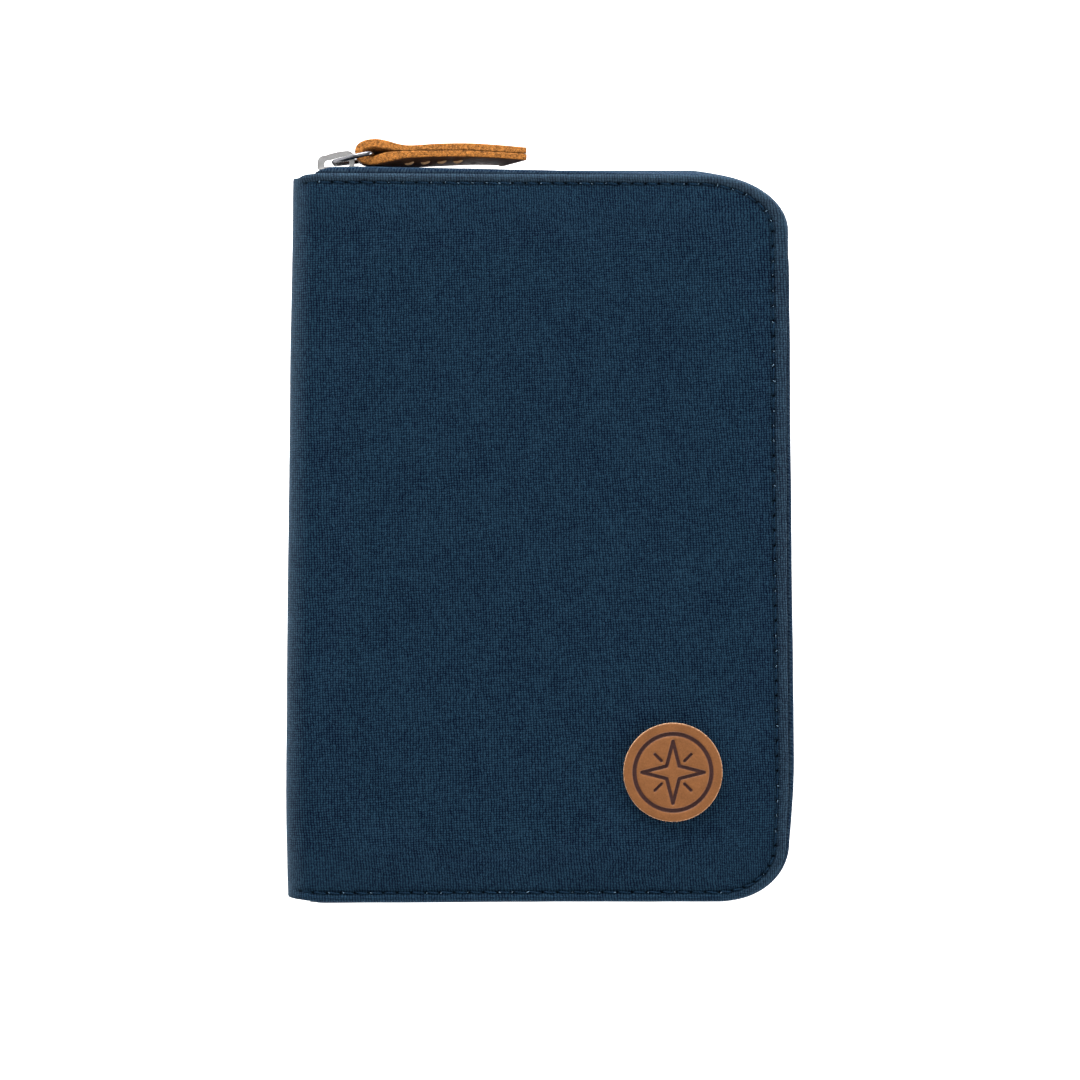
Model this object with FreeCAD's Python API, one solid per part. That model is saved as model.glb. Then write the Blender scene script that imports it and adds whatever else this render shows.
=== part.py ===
"""Zip-around passport holder: two padded fabric covers, a soft spine, a coil zip and a leather pull.

Millimetres. The holder lies on its back cover: +Z is up through its thickness, +Y points to the edge where
the zip slider parks, and the spine is at -X. The origin is the middle of the back cover's outer face.
Run it in any folder: it writes parts/NODE.step, one file per sub-part.
"""
import FreeCAD, Part
import math
import os

V = FreeCAD.Vector

# ---- Driving dimensions -------------------------------------------------------------------------------
THICKNESS = 14.0        # back face to front face, closed
MID_Z = THICKNESS / 2   # the plane where the two halves of the zip meet
HALF_H = 71.3           # half the height of a cover
EDGE_X = 48.2           # free edge of a cover, opposite the spine
SPINE_X = -49.0         # outer face of the spine
CORNER_R = 15.0         # the two rounded corners on the free edge
FOLD_R = 5.0            # outer radius where a cover turns into the spine
FOLD_SPLIT = 44.5       # degrees of each fold that stay with the cover; as many stay with the spine

# ---- Layers of a cover, from its outer face inwards ------------------------------------------------------
FABRIC_T = 0.5
HEM_T = 0.5             # the outer fabric's turned-in edge
HEM_W = 7.0
TAPE_T = 0.6
LINING_T = 0.4
FOAM_T = HEM_T + TAPE_T
INNER_Z = FABRIC_T + FOAM_T + LINING_T
LINING_INSET = 0.4
FOAM_INSET = HEM_W + 0.2
FLANGE_W = 5.5          # how far the zip tape reaches into the seam
PANEL_X = SPINE_X + FOLD_R          # a cover's flat part starts here
LINING_X = PANEL_X + 0.5
SPINE_HALF_H = HALF_H - 0.7

# ---- Seams -------------------------------------------------------------------------------------------
STITCH_PITCH = 2.75
STITCH_L = 2.1
STITCH_W = 0.34
STITCH_T = 0.2
STITCH_INSET = 2.4
GROOVE_W = 0.9
GROOVE_D = 0.3
SEAM_X = -45.0          # where the row of stitches ends beside the spine

# ---- Zip ---------------------------------------------------------------------------------------------
TAPE_GAP = 0.7          # between the edges of the two tapes
TAPE_TOP_Z = MID_Z - TAPE_GAP / 2
TAPE_OUT = 0.6          # the tape's outer face stands this far outside the cover's edge
TAPE_ROLL = 1.1         # and its roll beside the seam this far
TAPE_X = -44.5          # both ends of the tapes, beside the spine
COIL_IN = -1.3          # the coil's inner face, from the cover's edge
COIL_GAP = 0.1          # between a tooth and the tape facing it
COIL_BASE_Z = 5.2
COIL_RAIL_H = 0.5
TOOTH_TOP_Z = MID_Z + 0.5
TOOTH_PITCH = 1.2
TOOTH_W = 0.42
TOOTH_INSET = 0.15      # from the rail's inner face
COIL_X = -40.9          # first tooth of the back chain
FRONT_COIL_X = -33.8    # first tooth of the front chain, clear of the parked slider
END_COIL_X = -36.0      # last tooth, on the far edge

# ---- Zip slider, parked at the spine end of the upper edge -------------------------------------------
SLIDER_L = 8.0
SLIDER_X = -43.6        # its nose
SLIDER_TAIL_X = SLIDER_X + SLIDER_L
NOSE_HALF = 3.6
TAIL_HALF = 2.9
PLATE_T = 0.5
OUTER_PLATE_Y = HALF_H + TAPE_OUT + 0.1
INNER_PLATE_Y = HALF_H + COIL_IN - 0.1 - PLATE_T
PLATE_TOP_Y = OUTER_PLATE_Y + PLATE_T
FLANGE_T = 0.5
FLANGE_TOP_Y = HALF_H - 0.15
FLARE_X = -38.4         # the outer plate turns up from here to its tail
FLARE_H = 0.15
POST_T = 0.5
CROWN_HALF = 1.1
CROWN_X = (-43.65, -36.4)
CROWN_T = 1.0
CROWN_LEG_T = 1.35      # its leg at the nose is thicker
CROWN_TOP_Y = 75.65     # its highest point, over the tail
CROWN_RISE = 0.9        # its back slopes up this much from nose to tail

# ---- Pull ring and leather tab -----------------------------------------------------------------------
WIRE_R = 0.5
RING_PIVOT = (-40.3, 73.28)     # narrow bar, under the crown, in X and Y
RING_LENGTH = 7.7
RING_SLOPE = 11.0               # degrees above +X
RING_TWIST = -6.0               # about its own length, so that the upper side leans outwards
RING_NARROW = 1.8               # half widths at the wire's centre
RING_WIDE = 4.9
RING_PARALLEL = 3.0             # its arms are parallel for this length beside the wide bar
TAB_TWIST = -6.0
TAB_HALF_W = 4.0
LEATHER_T = 1.15
TAB_STITCHES = 4
TAB_STITCH_PITCH = 3.19
TAB_STITCH_L = 2.05
TAB_THREAD = 0.5
TAB_END_X = -2.45
TAB_SLANT = 5.0                 # the end is cut this much shorter on its far side
TAB_FOLD_R = 2.2                # outer radius of the fold round the bar
TAB_SEWN = 5.8                  # the two layers meet this far from the bar
TAB_RISE = 0.15                 # and lie this much higher than the bar

# ---- Leather patch -----------------------------------------------------------------------------------
PATCH_X, PATCH_Y = 26.2, -46.2
PATCH_R = 9.7
PATCH_T = 1.2
PATCH_GROOVE_D = 0.35

# ---- Pockets -----------------------------------------------------------------------------------------
POCKET_EDGE = 2.6       # between a pocket's sewn sides and the cover's edge
SHEET_T = 0.35
BINDING_T = 0.2
BINDING_W = 4.0
SEAM_W = 2.0            # sewn margin of a slip pocket
SLIP_GAP = 0.5          # room inside an empty slip pocket
PASSPORT_MOUTH_X = -38.0
THUMB_R = 9.0
TICKET_MOUTH_Y = 8.0
NOTE_MOUTH_X = -41.0
CARD_MOUTHS_Y = (26.0, 10.0, -6.0)


# ---- Helpers -----------------------------------------------------------------------------------------
def height(side, z):
    """z counted from the outer face of that side's cover."""
    return z if side == "back" else THICKNESS - z


def line(a, b):
    return Part.LineSegment(a, b).toShape()


def arc(a, b, c):
    return Part.Arc(a, b, c).toShape()


def prism(points, along):
    """A closed polygon of 3-D points, pushed along a vector."""
    return Part.Face(Part.makePolygon(points + [points[0]])).extrude(along)


def joined(shapes):
    return shapes[0].multiFuse(shapes[1:]).removeSplitter()


def block(x, y, z):
    """A box from (low, high) pairs."""
    low = V(min(x), min(y), min(z))
    high = V(max(x), max(y), max(z))
    size = high - low
    return Part.makeBox(size.x, size.y, size.z, low)


def slab(side, inset, x_left, z_low, z_high):
    """A sheet with a cover's outline, from x_left to the free edge, drawn in by inset."""
    h = HALF_H - inset
    x = EDGE_X - inset
    r = CORNER_R - inset
    cx = x - r
    cy = h - r
    d = r * math.sqrt(0.5)
    edges = [
        line(V(x_left, -h, 0), V(cx, -h, 0)),
        arc(V(cx, -h, 0), V(cx + d, -cy - d, 0), V(x, -cy, 0)),
        line(V(x, -cy, 0), V(x, cy, 0)),
        arc(V(x, cy, 0), V(cx + d, cy + d, 0), V(cx, h, 0)),
        line(V(cx, h, 0), V(x_left, h, 0)),
        line(V(x_left, h, 0), V(x_left, -h, 0)),
    ]
    face = Part.Face(Part.Wire(edges))
    z = sorted((height(side, z_low), height(side, z_high)))
    face.translate(V(0, 0, z[0]))
    return face.extrude(V(0, 0, z[1] - z[0]))


def rim_band(side, profile, x_top, x_bottom):
    """Carries an (offset from the cover's edge, z) outline round the three open edges."""
    cx = EDGE_X - CORNER_R
    cy = HALF_H - CORNER_R
    flat = [(o, height(side, z)) for o, z in profile]

    def section(x):
        return [V(x, HALF_H + o, z) for o, z in flat]

    def corner(sign):
        face = Part.Face(Part.makePolygon(section(cx) + [section(cx)[0]]))
        if sign < 0:
            face = face.mirror(V(0, 0, 0), V(0, 1, 0))
        return face.revolve(V(cx, sign * cy, 0), V(0, 0, 1), -90 * sign)

    top = prism(section(x_top), V(cx - x_top, 0, 0))
    bottom = prism([V(p.x, -p.y, p.z) for p in section(x_bottom)], V(cx - x_bottom, 0, 0))
    edge = prism([V(EDGE_X + o, -cy, z) for o, z in flat], V(0, 2 * cy, 0))
    return joined([top, corner(1), edge, corner(-1), bottom])


def rim_length(offset, x_top, x_bottom):
    cx = EDGE_X - CORNER_R
    cy = HALF_H - CORNER_R
    return (cx - x_top) + math.pi * (CORNER_R + offset) + 2 * cy + (cx - x_bottom)


def rim_place(offset, x_top, s):
    """Position and heading, in degrees, s along the rim from its upper spine end."""
    cx = EDGE_X - CORNER_R
    cy = HALF_H - CORNER_R
    r = CORNER_R + offset
    quarter = r * math.pi / 2
    if s < cx - x_top:
        return x_top + s, cy + r, 0.0
    s -= cx - x_top
    if s < quarter:
        a = math.pi / 2 - s / r
        return cx + r * math.cos(a), cy + r * math.sin(a), math.degrees(a) - 90
    s -= quarter
    if s < 2 * cy:
        return cx + r, cy - s, -90.0
    s -= 2 * cy
    if s < quarter:
        a = -s / r
        return cx + r * math.cos(a), -cy + r * math.sin(a), math.degrees(a) - 90
    s -= quarter
    return cx - s, -cy - r, -180.0


def rim_box(place, length, out, z):
    """A box across the rim: length along it, out = (low, high) from the place, z = (low, high)."""
    x, y, heading = place
    box = block((-length / 2, length / 2), out, z)
    box.rotate(V(0, 0, 0), V(0, 0, 1), heading)
    box.translate(V(x, y, 0))
    return box


def fold_sector(side, r_in, r_out, first, last, half_h):
    """Part of the quarter-round fold between a cover and the spine, in degrees from the cover."""
    cx = SPINE_X + FOLD_R
    outline = []
    for r, angles in ((r_out, (first, (first + last) / 2, last)), (r_in, (last, (first + last) / 2, first))):
        for a in angles:
            t = math.radians(a)
            outline.append(V(cx - r * math.sin(t), -half_h, height(side, FOLD_R - r * math.cos(t))))
    a, b, c, d, e, f = outline
    wire = Part.Wire([arc(a, b, c), line(c, d), arc(d, e, f), line(f, a)])
    return Part.Face(wire).extrude(V(0, 2 * half_h, 0))


# ---- Covers and spine --------------------------------------------------------------------------------
def outer_fabric(side):
    """The cover's canvas: a sheet with a turned-in hem, half of the fold and a pulled-in seam line."""
    sheet = slab(side, 0, PANEL_X, 0, FABRIC_T)
    hem = slab(side, 0.05, PANEL_X, FABRIC_T, FABRIC_T + HEM_T)
    hem = hem.cut(slab(side, HEM_W, PANEL_X - 1, FABRIC_T - 1, FABRIC_T + HEM_T + 1))
    fold = fold_sector(side, FOLD_R - FABRIC_T, FOLD_R, 0, FOLD_SPLIT, HALF_H - 0.3)
    mid = -STITCH_INSET
    half = GROOVE_W / 2
    groove = [(mid - half, -0.1), (mid + half, -0.1), (mid + half, GROOVE_D), (mid - half, GROOVE_D)]
    return joined([sheet, hem, fold]).cut(rim_band(side, groove, SEAM_X + 1.1, SEAM_X + 1.1))


def foam_pad(side):
    return slab(side, FOAM_INSET, LINING_X + 0.1, FABRIC_T, FABRIC_T + FOAM_T)


def lining(side):
    sheet = slab(side, LINING_INSET, LINING_X, FABRIC_T + FOAM_T, INNER_Z)
    inner_r = FOLD_R - FABRIC_T
    z = (height(side, FABRIC_T), height(side, INNER_Z))
    step = block((PANEL_X, LINING_X), (HEM_W - HALF_H, HALF_H - HEM_W), z)
    fold = fold_sector(side, inner_r - LINING_T, inner_r, 0, FOLD_SPLIT, HALF_H - LINING_INSET)
    return joined([sheet, step, fold])


def spine_layer(r_out, thickness, half_h):
    """One layer of the spine: a flat strip with half of each fold."""
    depth = FOLD_R - r_out
    x = (SPINE_X + depth, SPINE_X + depth + thickness)
    strip = block(x, (-half_h, half_h), (FOLD_R, THICKNESS - FOLD_R))
    folds = [fold_sector(s, r_out - thickness, r_out, 90 - FOLD_SPLIT, 90, half_h) for s in ("back", "front")]
    return joined([strip] + folds)


def topstitch(side):
    """The row of lock stitches, in the groove outside and on the lining inside."""
    length = rim_length(-STITCH_INSET, SEAM_X + 2, SEAM_X + 2)
    count = round(length / STITCH_PITCH)
    stitches = []
    for i in range(count):
        place = rim_place(-STITCH_INSET, SEAM_X + 2, (i + 0.5) * length / count)
        for low in (GROOVE_D - STITCH_T, INNER_Z):
            z = (height(side, low), height(side, low + STITCH_T))
            stitches.append(rim_box(place, STITCH_L, (-STITCH_W / 2, STITCH_W / 2), z))
    return Part.makeCompound(stitches)


# ---- Zip ---------------------------------------------------------------------------------------------
def zip_tape(side):
    """The tape: sewn into the seam, rolled out beside it, and standing up to the middle plane."""
    inner = TAPE_OUT - TAPE_T
    seam_z = FABRIC_T + HEM_T
    profile = [
        (-FLANGE_W, seam_z),
        (0.3, seam_z),
        (TAPE_ROLL, seam_z + 1.0),
        (TAPE_ROLL, seam_z + 1.6),
        (TAPE_OUT, seam_z + 2.3),
        (TAPE_OUT, TAPE_TOP_Z),
        (inner, TAPE_TOP_Z),
        (inner, seam_z + 2.5),
        (TAPE_ROLL - TAPE_T, seam_z + 1.5),
        (TAPE_ROLL - TAPE_T, seam_z + 1.2),
        (-0.1, seam_z + TAPE_T),
        (-FLANGE_W, seam_z + TAPE_T),
    ]
    return rim_band(side, profile, TAPE_X, TAPE_X)


def zip_coil(side):
    """One filament of the chain: a rail of root bends with a tooth at every pitch. The sides interleave."""
    tape_face = TAPE_OUT - TAPE_T
    rail_top = COIL_BASE_Z + COIL_RAIL_H
    rail = [(COIL_IN, COIL_BASE_Z), (tape_face, COIL_BASE_Z), (tape_face, rail_top), (COIL_IN, rail_top)]
    first_x = COIL_X if side == "back" else FRONT_COIL_X
    chain = (COIL_IN + tape_face) / 2
    depth = (COIL_IN + TOOTH_INSET - chain, tape_face - COIL_GAP - chain)
    z = (height(side, rail_top - 0.1), height(side, TOOTH_TOP_Z))
    phase = 0.5 if side == "back" else 1.0
    start = first_x - COIL_X
    end = rim_length(chain, COIL_X, END_COIL_X)
    teeth = []
    for i in range(int(end / TOOTH_PITCH)):
        s = (i + phase) * TOOTH_PITCH
        if start + TOOTH_W < s < end - TOOTH_W:
            teeth.append(rim_box(rim_place(chain, COIL_X, s), TOOTH_W, depth, z))
    return joined([rim_band(side, rail, first_x, END_COIL_X)] + teeth)


def zip_stop(x, y_sign):
    """A clip over the inner face and the edge of the back tape."""
    wrap = 0.25
    inner = HALF_H + TAPE_OUT - TAPE_T
    outer = HALF_H + TAPE_OUT
    clip = block(x, (inner - wrap, outer), (COIL_BASE_Z, TAPE_TOP_Z + wrap))
    clip = clip.cut(block((x[0] - 1, x[1] + 1), (inner, outer + 1), (COIL_BASE_Z - 1, TAPE_TOP_Z)))
    return clip if y_sign > 0 else clip.mirror(V(0, 0, 0), V(0, 1, 0))


# ---- Slider ------------------------------------------------------------------------------------------
def slider_plan(margin):
    """The slider's outline seen along Y, in X and Z, drawn in by margin."""
    nose = NOSE_HALF - margin
    tail = TAIL_HALF - margin
    x = (SLIDER_X + margin, SLIDER_TAIL_X - margin)
    points = [
        (x[0], nose - 1.6),
        (x[0] + 1.3, nose),
        (x[0] + 3.2, nose),
        (x[1] - 0.8, tail),
        (x[1], tail - 0.9),
    ]
    upper = [V(px, 0, MID_Z + pz) for px, pz in points]
    lower = [V(px, 0, MID_Z - pz) for px, pz in reversed(points)]
    return upper + lower


def slider_body():
    """Outer and inner plates, the inner one with side flanges, joined at the nose by a post."""
    outline = slider_plan(0)
    blank = prism([p + V(0, OUTER_PLATE_Y - 1, 0) for p in outline], V(0, 4, 0))
    z = MID_Z - NOSE_HALF - 1
    side_view = [
        V(SLIDER_X - 0.6, OUTER_PLATE_Y, z),
        V(FLARE_X, OUTER_PLATE_Y, z),
        V(SLIDER_TAIL_X, OUTER_PLATE_Y + FLARE_H, z),
        V(SLIDER_TAIL_X, PLATE_TOP_Y + FLARE_H, z),
        V(FLARE_X, PLATE_TOP_Y, z),
        V(SLIDER_X + 1.6, PLATE_TOP_Y, z),
    ]
    outer = blank.common(prism(side_view, V(0, 0, 2 * NOSE_HALF + 2)))
    inner = prism([p + V(0, INNER_PLATE_Y, 0) for p in outline], V(0, PLATE_T, 0))
    wall = prism([p + V(0, INNER_PLATE_Y, 0) for p in outline], V(0, FLANGE_TOP_Y - INNER_PLATE_Y, 0))
    hollow = prism([p + V(0, INNER_PLATE_Y - 1, 0) for p in slider_plan(FLANGE_T)], V(0, 5, 0))
    throat = block((SLIDER_X - 1, SLIDER_X + 1.6), (60, 80), (0, THICKNESS))
    mouth = block((SLIDER_TAIL_X - 1.2, SLIDER_TAIL_X + 1), (60, 80), (0, THICKNESS))
    flanges = wall.cut(hollow).cut(throat).cut(mouth)
    z = (MID_Z - POST_T / 2, MID_Z + POST_T / 2)
    post = block((SLIDER_X + 0.3, SLIDER_X + 2.3), (INNER_PLATE_Y + PLATE_T / 2, OUTER_PLATE_Y + PLATE_T / 2), z)
    return joined([outer, inner, flanges, post])


def slider_crown():
    """The arch over the outer plate that the pull ring passes under. Its back slopes up towards the tail."""
    left, right = CROWN_X
    y = OUTER_PLATE_Y + 0.05
    top = CROWN_TOP_Y
    t = CROWN_T
    leg = CROWN_LEG_T
    z = MID_Z - CROWN_HALF
    shoulder = top - CROWN_RISE
    outer = [V(left, shoulder - 1.3, z), V(left + 0.5, shoulder - 0.35, z), V(left + 1.6, shoulder, z)]
    bow = [V(left + 1.6, shoulder, z), V(left + 3.2, shoulder + 0.5, z), V(right - 1.3, top, z)]
    tail = [V(right - 1.3, top, z), V(right - 0.35, top - 0.45, z), V(right, top - 1.4, z)]
    outside = [line(V(left, y, z), outer[0]), arc(*outer), arc(*bow), arc(*tail), line(tail[2], V(right, y, z))]
    low = [
        V(left + leg, shoulder - 1.6, z),
        V(left + leg + 0.25, shoulder - 1.15, z),
        V(left + leg + 0.9, shoulder - t, z),
    ]
    roof = [low[2], V(left + leg + 2.3, shoulder + 0.42 - t, z), V(right - t - 0.7, top - t, z)]
    back = [roof[2], V(right - t - 0.15, top - t - 0.25, z), V(right - t, top - t - 0.8, z)]
    inside = [
        line(V(right, y, z), V(right - t, y, z)),
        line(V(right - t, y, z), back[2]),
        arc(*reversed(back)),
        arc(*reversed(roof)),
        arc(*reversed(low)),
        line(low[0], V(left + leg, y, z)),
        line(V(left + leg, y, z), V(left, y, z)),
    ]
    return Part.Face(Part.Wire(outside + inside)).extrude(V(0, 0, 2 * CROWN_HALF)).cut(slider_body())


def rounded_loop(corners, radii):
    """A closed wire through corners in the XZ plane, each rounded to its radius."""
    edges = []
    ends = []
    for i, r in enumerate(radii):
        before, here, after = (corners[(i + k) % len(corners)] for k in (-1, 0, 1))
        back = (before - here).normalize()
        ahead = (after - here).normalize()
        half_turn = back.getAngle(ahead) / 2
        reach = r / math.tan(half_turn)
        middle = (back + ahead).normalize()
        centre = here + middle * (r / math.sin(half_turn))
        ends.append((here + back * reach, centre - middle * r, here + ahead * reach))
    for i, (first, peak, last) in enumerate(ends):
        edges.append(arc(first, peak, last))
        edges.append(line(last, ends[(i + 1) % len(ends)][0]))
    return Part.Wire(edges)


def pull_ring():
    """A wire loop, narrow under the crown and wide in the tab's fold."""
    shoulder = RING_LENGTH - RING_PARALLEL
    half = [(0, RING_NARROW), (shoulder, RING_WIDE), (RING_LENGTH, RING_WIDE)]
    corners = [V(x, 0, z) for x, z in half] + [V(x, 0, -z) for x, z in reversed(half)]
    path = rounded_loop(corners, (1.2, 2.0, 1.5, 1.5, 2.0, 1.2))
    start = path.Edges[0].Vertexes[0].Point
    heading = path.Edges[0].tangentAt(path.Edges[0].FirstParameter)
    ring = path.makePipeShell([Part.Wire(Part.makeCircle(WIRE_R, start, heading))], True, False)
    ring.rotate(V(0, 0, 0), V(1, 0, 0), RING_TWIST)
    ring.rotate(V(0, 0, 0), V(0, 0, 1), RING_SLOPE)
    ring.translate(V(RING_PIVOT[0], RING_PIVOT[1], MID_Z))
    return ring


# ---- Leather tab -------------------------------------------------------------------------------------
def ring_bar():
    """X and Y of the ring's wide bar, which the tab hangs on."""
    a = math.radians(RING_SLOPE)
    return RING_PIVOT[0] + RING_LENGTH * math.cos(a), RING_PIVOT[1] + RING_LENGTH * math.sin(a)


def twisted(shape):
    """Turns a shape about the tab's long axis by its twist."""
    bar_y = ring_bar()[1]
    shape.rotate(V(0, bar_y, MID_Z), V(1, 0, 0), TAB_TWIST)
    return shape


def leather_tab():
    """One strip folded round the ring's bar, its two layers sewn together."""
    bar_x, bar_y = ring_bar()
    r = TAB_FOLD_R
    z = MID_Z - TAB_HALF_W
    sewn_x = bar_x + TAB_SEWN
    mid_y = bar_y + TAB_RISE

    def drop(radius, tail_x, half):
        """A teardrop round the bar that closes towards the tab's layers."""
        top = V(bar_x, bar_y + radius, z)
        low = V(bar_x, bar_y - radius, z)
        tip = [V(tail_x, mid_y + half, z), V(tail_x, mid_y - half, z)]
        edges = [arc(low, V(bar_x - radius, bar_y, z), top), line(top, tip[0])]
        if half > 0:
            edges.append(line(tip[0], tip[1]))
        return Part.Face(Part.Wire(edges + [line(tip[1], low)])).extrude(V(0, 0, 2 * TAB_HALF_W))

    fold = drop(r, sewn_x, LEATHER_T)
    layers = block((sewn_x - 0.1, TAB_END_X), (mid_y - LEATHER_T, mid_y + LEATHER_T), (z, z + 2 * TAB_HALF_W))
    tab = joined([fold, layers]).cut(drop(r - LEATHER_T, sewn_x, 0))
    far = z - 1
    near = z + 2 * TAB_HALF_W
    slope = TAB_SLANT / (2 * TAB_HALF_W)
    waste = prism(
        [
            V(TAB_END_X, mid_y - 5, near),
            V(TAB_END_X + 5, mid_y - 5, near),
            V(TAB_END_X + 5, mid_y - 5, far),
            V(TAB_END_X - TAB_SLANT - slope, mid_y - 5, far),
        ],
        V(0, 10, 0),
    )
    return twisted(tab.cut(waste))


def tab_stitches():
    """A short row of thick thread through both layers, seen on both faces."""
    bar_x, bar_y = ring_bar()
    mid_y = bar_y + TAB_RISE
    half = TAB_THREAD / 2
    stitches = []
    for i in range(TAB_STITCHES):
        x = bar_x + TAB_SEWN + (i + 0.42) * TAB_STITCH_PITCH
        for low in (mid_y + LEATHER_T, mid_y - LEATHER_T - half):
            span = (x - TAB_STITCH_L / 2, x + TAB_STITCH_L / 2)
            stitches.append(block(span, (low, low + half), (MID_Z - half, MID_Z + half)))
    return twisted(Part.makeCompound(stitches))


# ---- Patch and pockets -------------------------------------------------------------------------------
def leather_patch():
    """A round patch with a ring and a four-pointed compass star pressed into it."""
    centre = V(PATCH_X, PATCH_Y, THICKNESS)
    floor = THICKNESS + PATCH_T - PATCH_GROOVE_D
    patch = Part.makeCylinder(PATCH_R, PATCH_T, centre)
    ring = Part.makeCylinder(7.9, 1, V(PATCH_X, PATCH_Y, floor))
    ring = ring.cut(Part.makeCylinder(7.1, 1, V(PATCH_X, PATCH_Y, floor)))
    points = []
    for i in range(8):
        a = math.radians(45 * i)
        r = 6.0 if i % 2 == 0 else 1.6
        points.append(V(PATCH_X + r * math.sin(a), PATCH_Y + r * math.cos(a), floor))
    star = prism(points, V(0, 0, 1))
    return patch.cut(ring).cut(star)


def pocket_span():
    """X of the free edge and half the height inside the sewn sides of a pocket."""
    return EDGE_X - POCKET_EDGE, HALF_H - POCKET_EDGE


def sewn_sheet(side, x_left, y_top, z_low, z_high):
    """A pocket sheet with a cover's rounded outline, cut off at a mouth on the left or at the top."""
    h = pocket_span()[1]
    sheet = slab(side, POCKET_EDGE, x_left, z_low, z_high)
    if y_top < h:
        sheet = sheet.cut(block((-60, 60), (y_top, 80), (-5, THICKNESS + 5)))
    return sheet


def passport_pocket():
    """A slip pocket over the whole back cover: its mouth faces the spine and has a thumb notch."""
    roof = sewn_sheet("back", PASSPORT_MOUTH_X, 80, INNER_Z + SLIP_GAP, INNER_Z + SLIP_GAP + SHEET_T)
    seam = sewn_sheet("back", PASSPORT_MOUTH_X, 80, INNER_Z + STITCH_T, INNER_Z + SLIP_GAP)
    hollow = slab("back", POCKET_EDGE + SEAM_W, PASSPORT_MOUTH_X - 1, INNER_Z, INNER_Z + SLIP_GAP)
    notch = Part.makeCylinder(THUMB_R, 2, V(PASSPORT_MOUTH_X, 0, INNER_Z))
    return joined([roof, seam.cut(hollow)]).cut(notch)


def passport_pocket_binding():
    """Edge tape along the passport pocket's mouth, above and below the notch."""
    z = INNER_Z + SLIP_GAP + SHEET_T
    h = pocket_span()[1]
    x = (PASSPORT_MOUTH_X, PASSPORT_MOUTH_X + BINDING_W)
    strip = block(x, (-h, h), (z, z + BINDING_T))
    notch = Part.makeCylinder(THUMB_R, 5, V(PASSPORT_MOUTH_X, 0, 0))
    outer = Part.makeCylinder(THUMB_R + BINDING_W, BINDING_T, V(PASSPORT_MOUTH_X, 0, z))
    outer = outer.cut(block((-60, PASSPORT_MOUTH_X), (-80, 80), (0, 9)))
    return joined([strip, outer]).cut(notch)


def ticket_pocket():
    z = INNER_Z + SLIP_GAP + SHEET_T
    x_left = PASSPORT_MOUTH_X + THUMB_R + BINDING_W + 2
    return sewn_sheet("back", x_left, TICKET_MOUTH_Y, z, z + SHEET_T)


def ticket_pocket_binding():
    z = INNER_Z + SLIP_GAP + 2 * SHEET_T
    x = (PASSPORT_MOUTH_X + THUMB_R + BINDING_W + 2, pocket_span()[0])
    return block(x, (TICKET_MOUTH_Y - BINDING_W, TICKET_MOUTH_Y), (z, z + BINDING_T))


def note_pocket():
    return sewn_sheet("front", NOTE_MOUTH_X, 80, INNER_Z + STITCH_T, INNER_Z + STITCH_T + SHEET_T)


def card_level(i):
    """Where card sheet i starts, counted inwards from the front cover's face."""
    return INNER_Z + STITCH_T + SHEET_T * (1 + i)


def card_pocket(i):
    x_left = NOTE_MOUTH_X + BINDING_W + 0.3
    return sewn_sheet("front", x_left, CARD_MOUTHS_Y[i], card_level(i), card_level(i) + SHEET_T)


def card_pocket_bindings():
    strips = []
    x = (NOTE_MOUTH_X + BINDING_W + 0.3, pocket_span()[0])
    for i, mouth in enumerate(CARD_MOUTHS_Y):
        z = (height("front", card_level(i + 1)), height("front", card_level(i + 1) + BINDING_T))
        strips.append(block(x, (mouth - BINDING_W, mouth), z))
    return Part.makeCompound(strips)


def note_pocket_binding():
    h = pocket_span()[1]
    z = (height("front", card_level(0)), height("front", card_level(0) + BINDING_T))
    return block((NOTE_MOUTH_X, NOTE_MOUTH_X + BINDING_W), (-h, h), z)


# ---- Build -------------------------------------------------------------------------------------------
def build():
    nodes = {
        "spine_outer_fabric": spine_layer(FOLD_R, FABRIC_T, SPINE_HALF_H),
        "spine_lining": spine_layer(FOLD_R - FABRIC_T, LINING_T, SPINE_HALF_H),
        "zip_top_stop": zip_stop((-44.4, -43.75), 1),
        "zip_bottom_stop": zip_stop((-38.0, -36.4), -1),
        "slider_body": slider_body(),
        "slider_crown": slider_crown(),
        "pull_ring": pull_ring(),
        "leather_tab": leather_tab(),
        "tab_stitches": tab_stitches(),
        "leather_patch": leather_patch(),
        "passport_pocket": passport_pocket(),
        "passport_pocket_binding": passport_pocket_binding(),
        "ticket_pocket": ticket_pocket(),
        "ticket_pocket_binding": ticket_pocket_binding(),
        "note_pocket": note_pocket(),
        "note_pocket_binding": note_pocket_binding(),
        "card_pocket_bindings": card_pocket_bindings(),
    }
    for i, name in enumerate(("upper", "middle", "lower")):
        nodes[f"card_pocket_{name}"] = card_pocket(i)
    for side in ("back", "front"):
        nodes[f"{side}_outer_fabric"] = outer_fabric(side)
        nodes[f"{side}_foam_pad"] = foam_pad(side)
        nodes[f"{side}_lining"] = lining(side)
        nodes[f"{side}_zip_tape"] = zip_tape(side)
        nodes[f"{side}_zip_coil"] = zip_coil(side)
        nodes[f"{side}_topstitch"] = topstitch(side)
    return nodes


def main():
    os.makedirs("parts", exist_ok=True)
    for name, shape in sorted(build().items()):
        solids = shape.Solids
        good = bool(solids) and all(s.isValid() and s.isClosed() and s.Volume > 0 for s in solids)
        print(f"{name:26s} solids {len(solids):4d} volume {shape.Volume:9.2f} {'ok' if good else 'BAD'}")
        shape.exportStep(f"parts/{name}.step")


main()
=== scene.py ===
"""Looks of a zip-around passport holder: canvas covers, coil zip, leather pull and patch, cloth pockets.

Shapes are worked out in millimetres in the row frame and turned into metres when a mesh is made.
A cover is laid out flat in (u, y), where u runs along X and then round the spine's fold; see fold().
"""
import math

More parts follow.
